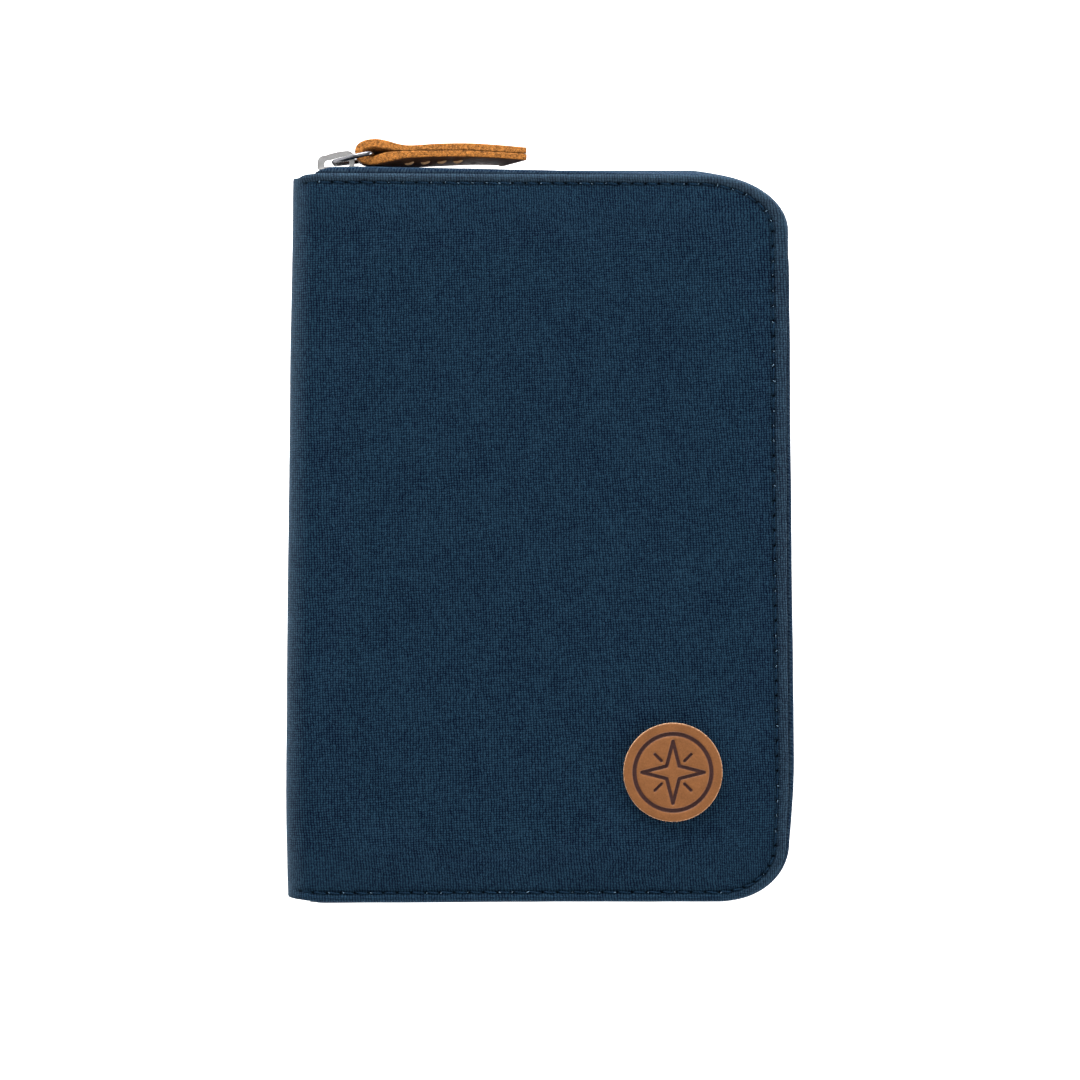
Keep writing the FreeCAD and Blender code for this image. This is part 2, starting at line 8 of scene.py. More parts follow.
import bpy
import numpy as np
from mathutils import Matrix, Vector, noise


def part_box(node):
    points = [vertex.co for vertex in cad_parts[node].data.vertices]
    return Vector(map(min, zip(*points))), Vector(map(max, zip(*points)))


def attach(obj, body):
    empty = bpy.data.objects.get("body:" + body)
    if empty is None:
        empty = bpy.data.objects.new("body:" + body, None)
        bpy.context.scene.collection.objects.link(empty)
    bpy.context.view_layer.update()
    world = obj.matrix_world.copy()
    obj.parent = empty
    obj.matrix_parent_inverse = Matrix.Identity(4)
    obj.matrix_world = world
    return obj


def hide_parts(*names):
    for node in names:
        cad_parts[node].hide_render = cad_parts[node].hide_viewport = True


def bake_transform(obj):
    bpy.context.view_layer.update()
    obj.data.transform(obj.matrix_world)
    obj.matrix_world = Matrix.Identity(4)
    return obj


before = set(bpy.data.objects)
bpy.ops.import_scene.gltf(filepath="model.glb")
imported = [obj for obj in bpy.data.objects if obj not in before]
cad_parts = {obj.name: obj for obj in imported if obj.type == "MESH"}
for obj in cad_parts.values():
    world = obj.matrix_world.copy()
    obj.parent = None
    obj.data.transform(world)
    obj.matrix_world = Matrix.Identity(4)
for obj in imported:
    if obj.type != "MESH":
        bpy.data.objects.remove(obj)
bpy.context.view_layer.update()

MM = 0.001


def span(node):
    """The lowest and highest corner of a CAD node, in millimetres."""
    low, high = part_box(node)
    return np.array(low) / MM, np.array(high) / MM


# ---- Sizes, from the frame -------------------------------------------------------------------------------
FACE = span("front_outer_fabric")[1]
EDGE, HALF, THICK = FACE
MID = THICK / 2
SPINE = span("spine_outer_fabric")[0][0]
FOLD_R = 5.0
FOLD_X = SPINE + FOLD_R
FOLD_ARC = FOLD_R * math.pi / 2
CORNER_R = 15.0
U_START = FOLD_X - FOLD_ARC - (MID - FOLD_R)
DROP = 0.5               # how far the upper edge falls to the right

STITCH_IN = 2.4          # from the cover's edge in to its stitches
STATION = 0.551          # spacing of the canvas's columns round the rim
PER_STITCH = 5           # stations to a stitch
LEAD = 13               # stations between the middle of the spine and the first stitch

LINING_DEPTH = 2.0       # below a cover's outer face
SHEET = 0.3              # a pocket cloth's thickness
LAYER = 0.16             # what each sheet adds to the sewn edge


# ---- Flat layout to space --------------------------------------------------------------------------------
# How far the left and right edges lie from their straight lines, at heights LEVEL. In millimetres, worked out
# from differences between the photo's measured outline and earlier renders'.
LEVEL = [-69, -64, -60, -56, -50, -40, -28, -16, -5, 7, 17, 27, 37, 46, 56, 70]
LEFT_SHIFT = [
    -0.65, -0.75, -0.91, -0.97, -1.01, -0.87, -0.81, -0.61,
    -0.55, -0.38, -0.21, -0.11, 0.08, 0.28, 0.50, 0.62,
]
RIGHT_SHIFT = [
    0.26, 0.20, 0.24, 0.46, 0.72, 0.66, 0.55, 0.45,
    0.31, 0.27, 0.20, 0.19, 0.26, 0.18, 0.17, 0.16,
]
DRAWN_IN = 1.9           # how far the right edge's upper end is drawn in
LET_OUT = 2.0            # how far its lower end is let out
UPPER_PULL = 4.0         # how much of each straight side the upper corners take up
LOWER_PULL = 4.5
LOWER_GROWTH = 0.42      # how far the lower edge hangs below its line
LEFT_SAG = 0.2           # and how much further beside the spine
BEYOND = 9               # nothing lies further out than this
SLIDER_REACH = 31        # x of the slider's far end at the end of its travel
SLIDER_FADE = 5          # the upper edge starts to fall over this length


def soften(p, held=0.0):
    """The sewn holder's slack: wider at its lower end, its upper edge falls to the right, and its corners are
    pulled out of round. Where held is 1 the upper edge stays straight, for the slider to run along."""
    q = np.array(p, float)
    cx, cy = EDGE - CORNER_R, HALF - CORNER_R
    upper = 0.5 + 0.5 * np.clip(p[:, 1] / cy, -1, 1)
    shift = DRAWN_IN * upper - LET_OUT * (1 - upper)
    growing = smooth((p[:, 0] + 20) / (cx + 20))
    x = p[:, 0] - shift * np.where(p[:, 0] < cx, growing, (EDGE - p[:, 0]) / CORNER_R)
    low = -HALF - LOWER_GROWTH
    y = np.interp(p[:, 1], [-HALF - BEYOND, -HALF, -cy, cy, HALF, HALF + BEYOND],
                  [low - BEYOND, low, -cy - LOWER_PULL, cy + UPPER_PULL, HALF, HALF + BEYOND])
    share = smooth((x + EDGE) / (2 * EDGE))
    q[:, 0] = x + np.interp(y, LEVEL, LEFT_SHIFT) * (1 - share) + np.interp(y, LEVEL, RIGHT_SHIFT) * share
    q[:, 1] = y - DROP * (1 - held) * (0.5 + 0.5 * x / EDGE) * np.clip(y, 0, None) / HALF
    q[:, 1] += LEFT_SAG * smooth(-x / 45) * np.clip(y, None, 0) / HALF
    return q


def near_slider(p):
    """1 along the slider's travel, and 0 beyond it."""
    return 1 - smooth((p[:, 0] - SLIDER_REACH) / SLIDER_FADE)


def held_straight(p):
    return soften(p, near_slider(p))


def fold(u, y, h, side):
    """Carries (u, y) at height h above a cover's outer face round the spine's fold and into space."""
    turn = np.clip((FOLD_X - u) / FOLD_R, 0, math.pi / 2)
    rest = np.clip(FOLD_X - u - FOLD_ARC, 0, None)
    r = FOLD_R + h
    x = np.where(u > FOLD_X, u, FOLD_X - r * np.sin(turn))
    z = np.where(u > FOLD_X, THICK + h, THICK - FOLD_R + r * np.cos(turn) - rest)
    if side == "back":
        z = THICK - z
    return np.column_stack([x, y, z])


def smooth(t):
    t = np.clip(t, 0, 1)
    return t * t * (3 - 2 * t)


def waves(a, b, size, seed):
    """Smooth noise between about -1 and 1 at each (a, b)."""
    return np.array([noise.noise(Vector((p / size, q / size, seed))) for p, q in zip(a, b)])


def distance_along(points):
    """Distance of each point of a line from its first."""
    return np.concatenate([[0], np.cumsum(np.linalg.norm(np.diff(points, axis=0), axis=1))])


def cover_body(side):
    return "root" if side == "back" else "front_cover"


# ---- Meshes ----------------------------------------------------------------------------------------------
def add_mesh(name, points, faces, material, flat=None, masks=None):
    """A smooth-shaded mesh from points in millimetres. Its cloth layout and masks become attributes."""
    mesh = bpy.data.meshes.new(name)
    mesh.from_pydata((np.asarray(points, float) * MM).tolist(), [], faces)
    mesh.validate()
    mesh.polygons.foreach_set("use_smooth", [True] * len(mesh.polygons))
    if flat is not None:
        flat = np.asarray(flat, float)
        if flat.shape[1] == 2:
            flat = np.column_stack([flat, np.zeros(len(flat))])
        layout = mesh.attributes.new("flat", "FLOAT_VECTOR", "POINT")
        layout.data.foreach_set("vector", flat.astype(np.float32).ravel())
    for key, values in (masks or {}).items():
        mask = mesh.attributes.new(key, "FLOAT", "POINT")
        mask.data.foreach_set("value", np.asarray(values, np.float32))
    mesh.materials.append(material)
    made = bpy.data.objects.new(name, mesh)
    bpy.context.scene.collection.objects.link(made)
    return made


def grid_faces(rows, columns, first=0):
    """Quads of a grid of points stored row by row."""
    faces = []
    for r in range(rows - 1):
        for c in range(columns - 1):
            a = first + r * columns + c
            faces.append((a, a + 1, a + columns + 1, a + columns))
    return faces


def grid_border(rows, columns):
    """A grid's outer points in order."""
    border = list(range(columns))
    border += [columns * r + columns - 1 for r in range(1, rows)]
    border += [columns * (rows - 1) + c for c in range(columns - 2, -1, -1)]
    border += [columns * r for r in range(rows - 2, 0, -1)]
    return border


def flipped(faces):
    return [f[::-1] for f in faces]


def tube_faces(rings, sides, first=0):
    """Quads of a tube of rings of points, with its ends closed."""
    faces = []
    for r in range(rings - 1):
        for k in range(sides):
            a = first + r * sides + k
            b = first + r * sides + (k + 1) % sides
            faces.append((a, b, b + sides, a + sides))
    faces.append(tuple(first + k for k in reversed(range(sides))))
    faces.append(tuple(first + (rings - 1) * sides + k for k in range(sides)))
    return faces


class Strands:
    """Many small tubes gathered into one mesh."""

    def __init__(self):
        self.points = []
        self.faces = []
        self.count = 0

    def add(self, line, radius, sides=8, up=(0, 0, 1), flatten=1.0):
        """A round-ended tube along a line of points; radius is a number or one per point."""
        line = np.asarray(line, float)
        along = np.gradient(line, axis=0)
        along /= np.linalg.norm(along, axis=1)[:, None]
        side = np.cross(along, np.asarray(up, float))
        side /= np.linalg.norm(side, axis=1)[:, None]
        lift = np.cross(side, along)
        angle = np.arange(sides) * 2 * math.pi / sides
        r = np.broadcast_to(np.asarray(radius, float), len(line))[:, None, None]
        sideways, upwards = np.cos(angle)[None, :, None], flatten * np.sin(angle)[None, :, None]
        ring = sideways * side[:, None] + upwards * lift[:, None]
        self.points.append((line[:, None] + r * ring).reshape(-1, 3))
        self.faces += tube_faces(len(line), sides, self.count)
        self.count += len(line) * sides

    def build(self, name, material, finish=lambda p: p):
        return add_mesh(name, finish(np.concatenate(self.points)), self.faces, material)


# ---- The covers' outline ---------------------------------------------------------------------------------
class Rim:
    """Stations along a cover's three open edges, from the spine's upper end round to its lower end."""

    def __init__(self, start, spacing, block=1):
        cx, cy = EDGE - CORNER_R, HALF - CORNER_R
        self.n_top = round((cx - start) / spacing)
        self.n_arc = block * round(math.pi / 2 * (CORNER_R - STITCH_IN) / spacing / block)
        self.n_side = block * round(2 * cy / spacing / block)
        self.u = np.linspace(start, cx, self.n_top + 1)
        self.y = np.linspace(cy, -cy, self.n_side + 1)
        base, out = [], []
        for u in self.u:
            base.append((u, HALF))
            out.append((0, 1))
        for a in np.linspace(math.pi / 2, 0, self.n_arc + 1)[1:]:
            out.append((math.cos(a), math.sin(a)))
            base.append((cx + CORNER_R * out[-1][0], cy + CORNER_R * out[-1][1]))
        for y in self.y[1:]:
            base.append((EDGE, y))
            out.append((1, 0))
        for a in np.linspace(0, -math.pi / 2, self.n_arc + 1)[1:]:
            out.append((math.cos(a), math.sin(a)))
            base.append((cx + CORNER_R * out[-1][0], -cy + CORNER_R * out[-1][1]))
        for u in self.u[-2::-1]:
            base.append((u, -HALF))
            out.append((0, -1))
        self.base = np.array(base)
        self.out = np.array(out, float)
        self.count = len(base)

    def at(self, offset):
        """(u, y) of every station, moved outwards by offset: one number, or one per station."""
        return self.base + self.out * np.broadcast_to(offset, self.count)[:, None]

    def along(self):
        """Distance of each station along the outline."""
        return distance_along(self.base)

    def inner(self, i):
        """Column and row of the inner grid's corner that station i meets."""
        top, arc, side = self.n_top, self.n_arc, self.n_side
        if i <= top:
            return i, 0
        if i <= top + arc:
            return top, 0
        if i <= top + arc + side:
            return top, i - top - arc
        if i <= top + 2 * arc + side:
            return top, side
        return 2 * top + 2 * arc + side - i, side


# how far the upper corner beside the spine is trimmed, at each X, from the same differences
TRIM_X = [-49.4, -48.7, -47.95, -47.2, -46.4, -45.6, -44.8, -43.8]
UPPER_TRIM = [1.7, 1.5, 1.42, 0.75, 0.38, 0.3, 0.2, 0]
LOWER_TRIM = 0.95
LOWER_TRIM_X = -42.2


def spine_slope(u, y):
    """How far the canvas's ends draw in beside the spine, where the corner is trimmed."""
    x = np.where(u > FOLD_X, u, FOLD_X - FOLD_R * np.sin(np.clip((FOLD_X - u) / FOLD_R, 0, math.pi / 2)))
    upper = np.interp(x, TRIM_X, UPPER_TRIM)
    lower = LOWER_TRIM * np.clip((LOWER_TRIM_X - x) / 6.6, 0, 1.1) ** 1.2
    return np.where(y > 0, upper, lower)


# ---- Materials -------------------------------------------------------------------------------------------
class Graph:
    """A short way to write a material's nodes."""

    def __init__(self, name):
        self.material = bpy.data.materials.new(name)
        self.material.use_nodes = True
        self.tree = self.material.node_tree
        self.tree.nodes.clear()
        self.shader = self.tree.nodes.new("ShaderNodeBsdfPrincipled")
        output = self.tree.nodes.new("ShaderNodeOutputMaterial")
        self.tree.links.new(self.shader.outputs[0], output.inputs[0])

    def put(self, socket, value):
        """Links a node's output to a socket, or sets the socket to a constant."""
        if hasattr(value, "is_output"):
            self.tree.links.new(value, socket)
        elif socket.type == "VECTOR":
            socket.default_value = value[:3]
        else:
            socket.default_value = value

    def node(self, kind, out=0, props=None, **inputs):
        made = self.tree.nodes.new("ShaderNode" + kind)
        for key, value in (props or {}).items():
            setattr(made, key, value)
        for key, value in inputs.items():
            self.put(made.inputs[key.replace("_", " ")], value)
        return made.outputs[out]

    def math(self, operation, *values):
        made = self.tree.nodes.new("ShaderNodeMath")
        made.operation = operation
        for socket, value in zip(made.inputs, values):
            self.put(socket, value)
        return made.outputs[0]

    def add(self, a, b):
        return self.math("ADD", a, b)

    def times(self, a, b):
        return self.math("MULTIPLY", a, b)

    def line(self, value, slope, base):
        """A value times a slope, plus a base."""
        return self.math("MULTIPLY_ADD", value, slope, base)

    def place(self):
        """The piece's own coordinates."""
        return self.node("TexCoord", out=3)

    def attribute(self, name, vector=False):
        made = self.tree.nodes.new("ShaderNodeAttribute")
        made.attribute_name = name
        return made.outputs["Vector" if vector else "Fac"]

    def split(self, vector):
        made = self.tree.nodes.new("ShaderNodeSeparateXYZ")
        self.put(made.inputs[0], vector)
        return made.outputs[0], made.outputs[1], made.outputs[2]

    def join(self, x, y, z=0.0):
        made = self.tree.nodes.new("ShaderNodeCombineXYZ")
        for socket, value in zip(made.inputs, (x, y, z)):
            self.put(socket, value)
        return made.outputs[0]

    def noise(self, vector, scale, detail=2.0, roughness=0.5):
        made = self.tree.nodes.new("ShaderNodeTexNoise")
        self.put(made.inputs["Vector"], vector)
        made.inputs["Scale"].default_value = scale
        made.inputs["Detail"].default_value = detail
        made.inputs["Roughness"].default_value = roughness
        return made.outputs[0]

    def remap(self, value, low, high, to_low=0.0, to_high=1.0):
        made = self.tree.nodes.new("ShaderNodeMapRange")
        for socket, v in zip(made.inputs, (value, low, high, to_low, to_high)):
            self.put(socket, v)
        return made.outputs[0]

    def mix(self, factor, a, b, blend="MIX"):
        made = self.tree.nodes.new("ShaderNodeMix")
        made.data_type = "RGBA"
        made.blend_type = blend
        self.put(made.inputs[0], factor)
        self.put(made.inputs[6], a)
        self.put(made.inputs[7], b)
        return made.outputs[2]

    def scale_color(self, color, factor):
        """A colour times a number."""
        made = self.tree.nodes.new("ShaderNodeVectorMath")
        made.operation = "SCALE"
        self.put(made.inputs[0], color)
        self.put(made.inputs["Scale"], factor)
        return made.outputs[0]

    def bump(self, height, distance, strength):
        made = self.tree.nodes.new("ShaderNodeBump")
        made.inputs["Strength"].default_value = strength
        made.inputs["Distance"].default_value = distance
        self.put(made.inputs["Height"], height)
        return made.outputs[0]

    def finish(self, **sockets):
        for key, value in sockets.items():
            self.put(self.shader.inputs[key.replace("_", " ")], value)
        return self.material


def rgb(r, g, b):
    return (r, g, b, 1.0)


def weave(g, x, y, warp, weft):
    """A plain weave with threads of those pitches: its height, 0 to 1, a tone for each crossing, and how far
    each point lies inside its crossing."""
    a = g.math("DIVIDE", x, warp)
    b = g.math("DIVIDE", y, weft)
    ia, ib = g.math("FLOOR", a), g.math("FLOOR", b)
    round_a = g.math("SINE", g.times(g.math("FRACT", a), math.pi))
    round_b = g.math("SINE", g.times(g.math("FRACT", b), math.pi))
    over = g.math("SINE", g.times(g.add(b, ia), math.pi))
    under = g.math("SINE", g.times(g.add(a, ib), math.pi))
    up = g.times(round_a, g.line(over, 0.42, 0.58))
    across = g.times(round_b, g.line(under, -0.42, 0.58))
    height = g.math("MAXIMUM", up, across)
    tone = g.node("TexWhiteNoise", props={"noise_dimensions": "2D"}, Vector=g.join(ia, ib))
    return height, tone, g.times(round_a, g.line(round_b, 0.75, 0.25))


PAINTED_HIGHLIGHT_TINT = rgb(0.0128, 0.0165, 0.0195)      # painted highlight, added on the rolled edges that face the lights and round the spine's fold
FUZZ = rgb(0.50, 0.76, 1.0)             # tint of the cloth's sheen
WEAVE_LEAN = 0.04                       # the cloth was cut a little off its grain


def cloth_material(name, dark, light, warp, weft, depth, sheen=0.08, rough=0.8, mottle=0.08, specks=0.5):
    """Woven cloth on the piece's flat layout: the dye, with painted shade between its threads and a painted
    highlight on their crowns.
    """
    g = Graph(name)
    flat = g.attribute("flat", vector=True)
    slack = g.noise(flat, 0.13, 2.0)
    jitter = g.noise(flat, 1.3, 1.0)
    x, y, _ = g.split(flat)
    across = g.line(slack, 1.5 * warp, g.times(jitter, 0.75 * warp))
    down = g.line(slack, -1.8 * weft, g.times(jitter, -0.75 * weft))
    lean_x = g.line(y, WEAVE_LEAN, x)
    lean_y = g.line(x, -WEAVE_LEAN, y)
    x = g.add(lean_x, across)
    y = g.add(lean_y, down)
    height, tone, inside = weave(g, x, y, warp, weft)
    patches = g.noise(flat, 0.10, 3.0, 0.6)
    streaks = g.noise(g.join(g.times(x, 1.9), g.times(y, 0.25)), 1.0, 2.0)
    # painted highlight and shade: each crossing is lighter in its middle and on the threads' crowns and
    # darker between threads, over the dye's random tone added below
    level = g.line(g.remap(height, 0.2, 0.95), 0.12, g.times(inside, 0.86))
    level = g.add(level, g.remap(tone, 0.0, 1.0, -0.20, 0.12))
    level = g.add(level, g.remap(streaks, 0.3, 0.7, -0.05, 0.05))
    level = g.add(level, g.remap(patches, 0.3, 0.7, -mottle, mottle))
    fleck = g.noise(flat, 2.6, 1.0)
    level = g.add(level, g.times(g.remap(fleck, 0.68, 0.78), specks))
    level = g.math("MAXIMUM", level, 0.0)
    color = g.mix(level, dark, light)
    # painted highlight: a pale tint added on the rolled edges that face the lights and round the spine's fold
    rim_highlight = g.times(g.attribute("painted_highlight"), g.line(level, 1.1, 0.45))
    color = g.mix(rim_highlight, color, PAINTED_HIGHLIGHT_TINT, "ADD")
    # painted shade: darkened where the mask marks stitch holes and the hem's tucked-under rows
    color = g.scale_color(color, g.remap(g.attribute("painted_shade"), 0.0, 1.0, 1.0, 0.06))
    fuzz = g.noise(flat, 9.0, 2.0)
    relief = g.add(height, g.times(fuzz, 0.3))
    return g.finish(
        Base_Color=color,
        Roughness=rough,
        Specular_IOR_Level=0.02,
        Sheen_Weight=sheen,
        Sheen_Roughness=0.27,
        Sheen_Tint=FUZZ,
        Normal=g.bump(relief, depth * MM, 0.9),
    )


def tape_material():
    """Herringbone zip tape, woven across the strip's flat layout."""
    g = Graph("zip_tape")
    flat = g.attribute("flat", vector=True)
    x, y, _ = g.split(flat)
    jitter = g.noise(flat, 1.5, 2.0)
    zigzag = g.math("PINGPONG", y, 1.6)
    run = g.add(g.add(x, g.times(zigzag, 0.9)), g.times(jitter, 0.5))
    rib = g.line(g.math("SINE", g.times(run, 2 * math.pi / 0.62)), 0.5, 0.5)
    cross = g.line(g.math("SINE", g.times(y, 2 * math.pi / 0.4)), 0.5, 0.5)
    height = g.add(g.times(rib, 0.6), g.times(cross, 0.4))
    fleck = g.noise(flat, 2.9, 2.0)
    # painted highlight: raised ribs are lighter than the hollows, over the dye's random flecks
    level = g.add(g.remap(height, 0.0, 1.0, 0.0, 0.65), g.remap(fleck, 0.35, 0.75, -0.25, 0.45))
    color = g.mix(g.math("MAXIMUM", level, 0.0), rgb(0.0008, 0.0060, 0.020), rgb(0.030, 0.056, 0.084))
    # painted shade where the tape's upper part tucks against the canvas
    color = g.scale_color(color, g.remap(g.attribute("painted_shade"), 0.0, 1.0, 1.0, 0.06))
    return g.finish(
        Base_Color=color,
        Roughness=0.75,
        Specular_IOR_Level=0.02,
        Sheen_Weight=0.10,
        Sheen_Roughness=0.22,
        Sheen_Tint=FUZZ,
        Normal=g.bump(height, 0.10 * MM, 0.8),
    )


def thread_material(name, color, sheen=0.2):
    """Twisted thread: fine slanted plies on object coordinates."""
    g = Graph(name)
    place = g.place()
    x, y, z = g.split(place)
    slant = g.add(g.add(x, y), g.times(z, 1.4))
    twist = g.math("SINE", g.times(slant, 14000.0))
    ply = g.line(twist, 0.5, 0.5)
    tone = g.noise(place, 900.0, 2.0)
    light = g.times(g.remap(ply, 0.0, 1.0, 0.7, 1.25), g.remap(tone, 0.3, 0.7, 0.75, 1.3))
    return g.finish(
        Base_Color=g.scale_color(color, light),
        Roughness=0.7,
        Specular_IOR_Level=0.04,
        Sheen_Weight=sheen,
        Normal=g.bump(ply, 0.03 * MM, 0.6),
    )


def nylon_material():
    g = Graph("zip_coil")
    tone = g.noise(g.place(), 1500.0, 2.0)
    return g.finish(
        Base_Color=g.scale_color(rgb(0.008, 0.018, 0.034), g.remap(tone, 0.3, 0.7, 0.8, 1.2)),
        Roughness=0.35,
        Specular_IOR_Level=0.5,
        Normal=g.bump(tone, 0.01 * MM, 0.4),
    )


def cast_metal_material():
    """Satin die-cast zinc: pale warm grey with a fine pebbled skin."""
    g = Graph("cast_metal")
    place = g.place()
    grain = g.noise(place, 5200.0, 3.0, 0.6)
    cloud = g.noise(place, 900.0, 3.0, 0.6)
    light = g.times(g.remap(grain, 0.3, 0.7, 0.86, 1.1), g.remap(cloud, 0.3, 0.7, 0.88, 1.1))
    return g.finish(
        Base_Color=g.scale_color(rgb(0.27, 0.266, 0.262), light),
        Metallic=0.92,
        Roughness=g.remap(grain, 0.3, 0.7, 0.38, 0.52),
        Normal=g.bump(grain, 0.02 * MM, 0.5),
    )


def wire_metal_material():
    """Polished plated wire with faint drawing marks."""
    g = Graph("wire_metal")
    place = g.place()
    marks = g.noise(place, 2600.0, 3.0, 0.7)
    return g.finish(
        Base_Color=g.scale_color(rgb(0.13, 0.13, 0.14), g.remap(marks, 0.3, 0.7, 0.8, 1.2)),
        Metallic=1.0,
        Roughness=g.remap(marks, 0.3, 0.7, 0.10, 0.24),
        Normal=g.bump(marks, 0.008 * MM, 0.4),
    )


def leather_material(name, face, raw, line, grain_depth, gloss):
    """Smooth tan leather: 'cut' marks raw fibrous edges and 'line' the pressed, burnt lines."""
    g = Graph(name)
    place = g.place()
    cells = g.node("TexVoronoi", Vector=place, Scale=3400.0)
    pores = g.noise(place, 2600.0, 4.0, 0.65)
    cloud = g.noise(place, 260.0, 3.0, 0.6)
    fibre = g.noise(place, 2600.0, 5.0, 0.8)
    cut = g.attribute("cut")
    pressed = g.attribute("line")
    tone = g.times(g.remap(pores, 0.3, 0.7, 0.84, 1.14), g.remap(cloud, 0.3, 0.7, 0.86, 1.14))
    smooth_side = g.scale_color(face, tone)
    fine = g.noise(place, 6500.0, 2.0, 0.6)
    nap = g.add(g.remap(fibre, 0.36, 0.64, -0.1, 0.9), g.remap(fine, 0.3, 0.7, -0.25, 0.25))
    raw_side = g.mix(nap, g.scale_color(raw, 0.26), g.scale_color(raw, 1.92))
    color = g.mix(cut, smooth_side, raw_side)
    color = g.mix(pressed, color, g.scale_color(line, g.remap(pores, 0.3, 0.7, 0.7, 1.3)))
    # painted shade deep in the pull's hole and along the gap between its two layers
    color = g.scale_color(color, g.remap(g.attribute("painted_shade"), 0.0, 1.0, 1.0, 0.12))
    skin = g.add(g.times(cells, 0.5), pores)
    height = g.add(g.times(skin, g.math("SUBTRACT", 1.0, cut)),
                    g.times(fibre, g.times(cut, 2.6)))
    return g.finish(
        Base_Color=color,
        Roughness=g.remap(cut, 0.0, 1.0, 0.48, 0.95),
        Specular_IOR_Level=gloss,
        Normal=g.bump(height, grain_depth * MM, 0.9),
    )


def foam_material():
    g = Graph("foam")
    cells = g.node("TexVoronoi", Vector=g.place(), Scale=1800.0)
    return g.finish(
        Base_Color=g.scale_color(rgb(0.06, 0.06, 0.065), g.remap(cells, 0.0, 0.6, 1.2, 0.6)),
        Roughness=0.95,
        Normal=g.bump(cells, 0.05 * MM, 0.7),
    )


# cloths: colour between the threads (dye with painted shade), colour on their crowns (dye with painted
# highlight), the threads' pitches, the weave's depth
CANVAS = cloth_material("canvas", rgb(0.0001, 0.0015, 0.0080), rgb(0.0114, 0.0330, 0.0560),
                        0.534, 0.441, 0.09, sheen=0.12, mottle=0.06)
LINING = cloth_material("lining", rgb(0.004, 0.013, 0.026), rgb(0.022, 0.044, 0.070),
                        0.30, 0.30, 0.05, rough=0.7)
POCKET = cloth_material("pocket_cloth", rgb(0.006, 0.016, 0.032), rgb(0.028, 0.054, 0.084),
                        0.32, 0.30, 0.05, rough=0.7)
BINDING = cloth_material("binding", rgb(0.003, 0.009, 0.020), rgb(0.018, 0.036, 0.060), 0.55, 0.28, 0.08)
TAPE = tape_material()
THREAD = thread_material("sewing_thread", rgb(0.004, 0.015, 0.031), 0.0)
# lighter than the sewing thread: painted glints on the loose fibre ends at the holes
THREAD_ENDS_GLINT = thread_material("thread_ends_glint", rgb(0.09, 0.15, 0.21), 0.0)
TAN_THREAD = thread_material("tan_thread", rgb(0.80, 0.47, 0.24), 0.1)
COIL = nylon_material()
CAST = cast_metal_material()
WIRE = wire_metal_material()
FOAM = foam_material()
BURNT = rgb(0.040, 0.016, 0.014)
TAB_LEATHER = leather_material("tab_leather", rgb(0.150, 0.060, 0.030), rgb(0.325, 0.122, 0.024),
                               BURNT, 0.06, 0.22)
PATCH_LEATHER = leather_material("patch_leather", rgb(0.165, 0.064, 0.021), rgb(0.38, 0.22, 0.13),
                                 BURNT, 0.03, 0.12)


# ---- Canvas ----------------------------------------------------------------------------------------------
# The rim's section: (offset from the cover's edge, height above its face), from inside the hem, over the
# rolled edge and the sewn channel, to the panel.
RIM_SECTION = [
    (-6.0, -0.95), (-3.0, -1.0), (-1.3, -1.12), (-0.6, -1.14), (-0.2, -1.0), (0.0, -0.74), (0.0, -0.5),
    (-0.14, -0.27), (-0.4, -0.09), (-0.72, 0.02), (-1.05, 0.04), (-1.35, -0.02), (-1.65, -0.14),
    (-1.95, -0.3), (-2.2, -0.40), (-2.4, -0.44), (-2.65, -0.38), (-3.0, -0.26), (-3.5, -0.2),
    (-4.2, -0.13), (-5.2, -0.08), (-6.5, -0.04), (-8.0, 0.0), (-10.4, 0.0), (-12.8, 0.0),
]
HEM_TOP = -0.8           # rows of the section below this lie in the hem
ROLL_TOP = -0.7          # offset of the rolled edge's crest
CHANNEL = -0.38          # height of the stitches in their channel
PANEL_CROWN = 0.42
# how much painted highlight the rolled edge gets, at each offset from the edge
HIGHLIGHT_AT = [-3.4, -2.4, -1.8, -0.9, -0.3, 0.0]
HIGHLIGHT_BY_OFFSET = [0.0, 0.25, 0.8, 1.0, 1.0, 0.6]


def panel_height(u, y, inside):
    """Crown and slack of the padded panel; inside is the distance from the cover's edge."""
    crown = PANEL_CROWN * smooth((inside - STITCH_IN - 0.2) / 10) * smooth((u - FOLD_X) / 14)
    slack = 0.13 * waves(u, y, 19.0, 3.1) + 0.045 * waves(u, y, 6.5, 8.4)
    return crown + slack * smooth((inside - 1.0) / 6)


def rim_pucker(rim, offset):
    """The seam pulls in at every stitch hole, and the roll beside it swells and dips a little."""
    step = (np.arange(rim.count) - LEAD) / PER_STITCH
    hole = 0.5 + 0.5 * np.cos(2 * math.pi * step)
    sewn = (step > -0.5) & (step < (rim.count - 1 - 2 * LEAD) / PER_STITCH + 0.5)
    s = rim.along()
    channel = math.exp(-((offset + STITCH_IN) / 0.55) ** 2)
    spread = math.exp(-((offset + STITCH_IN) / 1.3) ** 2)
    roll = math.exp(-((offset - ROLL_TOP) / 1.2) ** 2)
    uneven = waves(s, s * 0 + offset, 5.0, 1.7)
    tug = 0.6 + 0.4 * waves(s, s * 0, 2.9, 5.5)
    return -1.0 * sewn * hole * tug * (0.30 * channel + 0.12 * spread) + 0.07 * roll * uneven


def spine_highlight(u):
    """How much painted highlight the canvas gets on its way round the spine, where the light grazes the fold.
    """
    return 0.9 * smooth((FOLD_X - 0.5 - u) / 5.5)


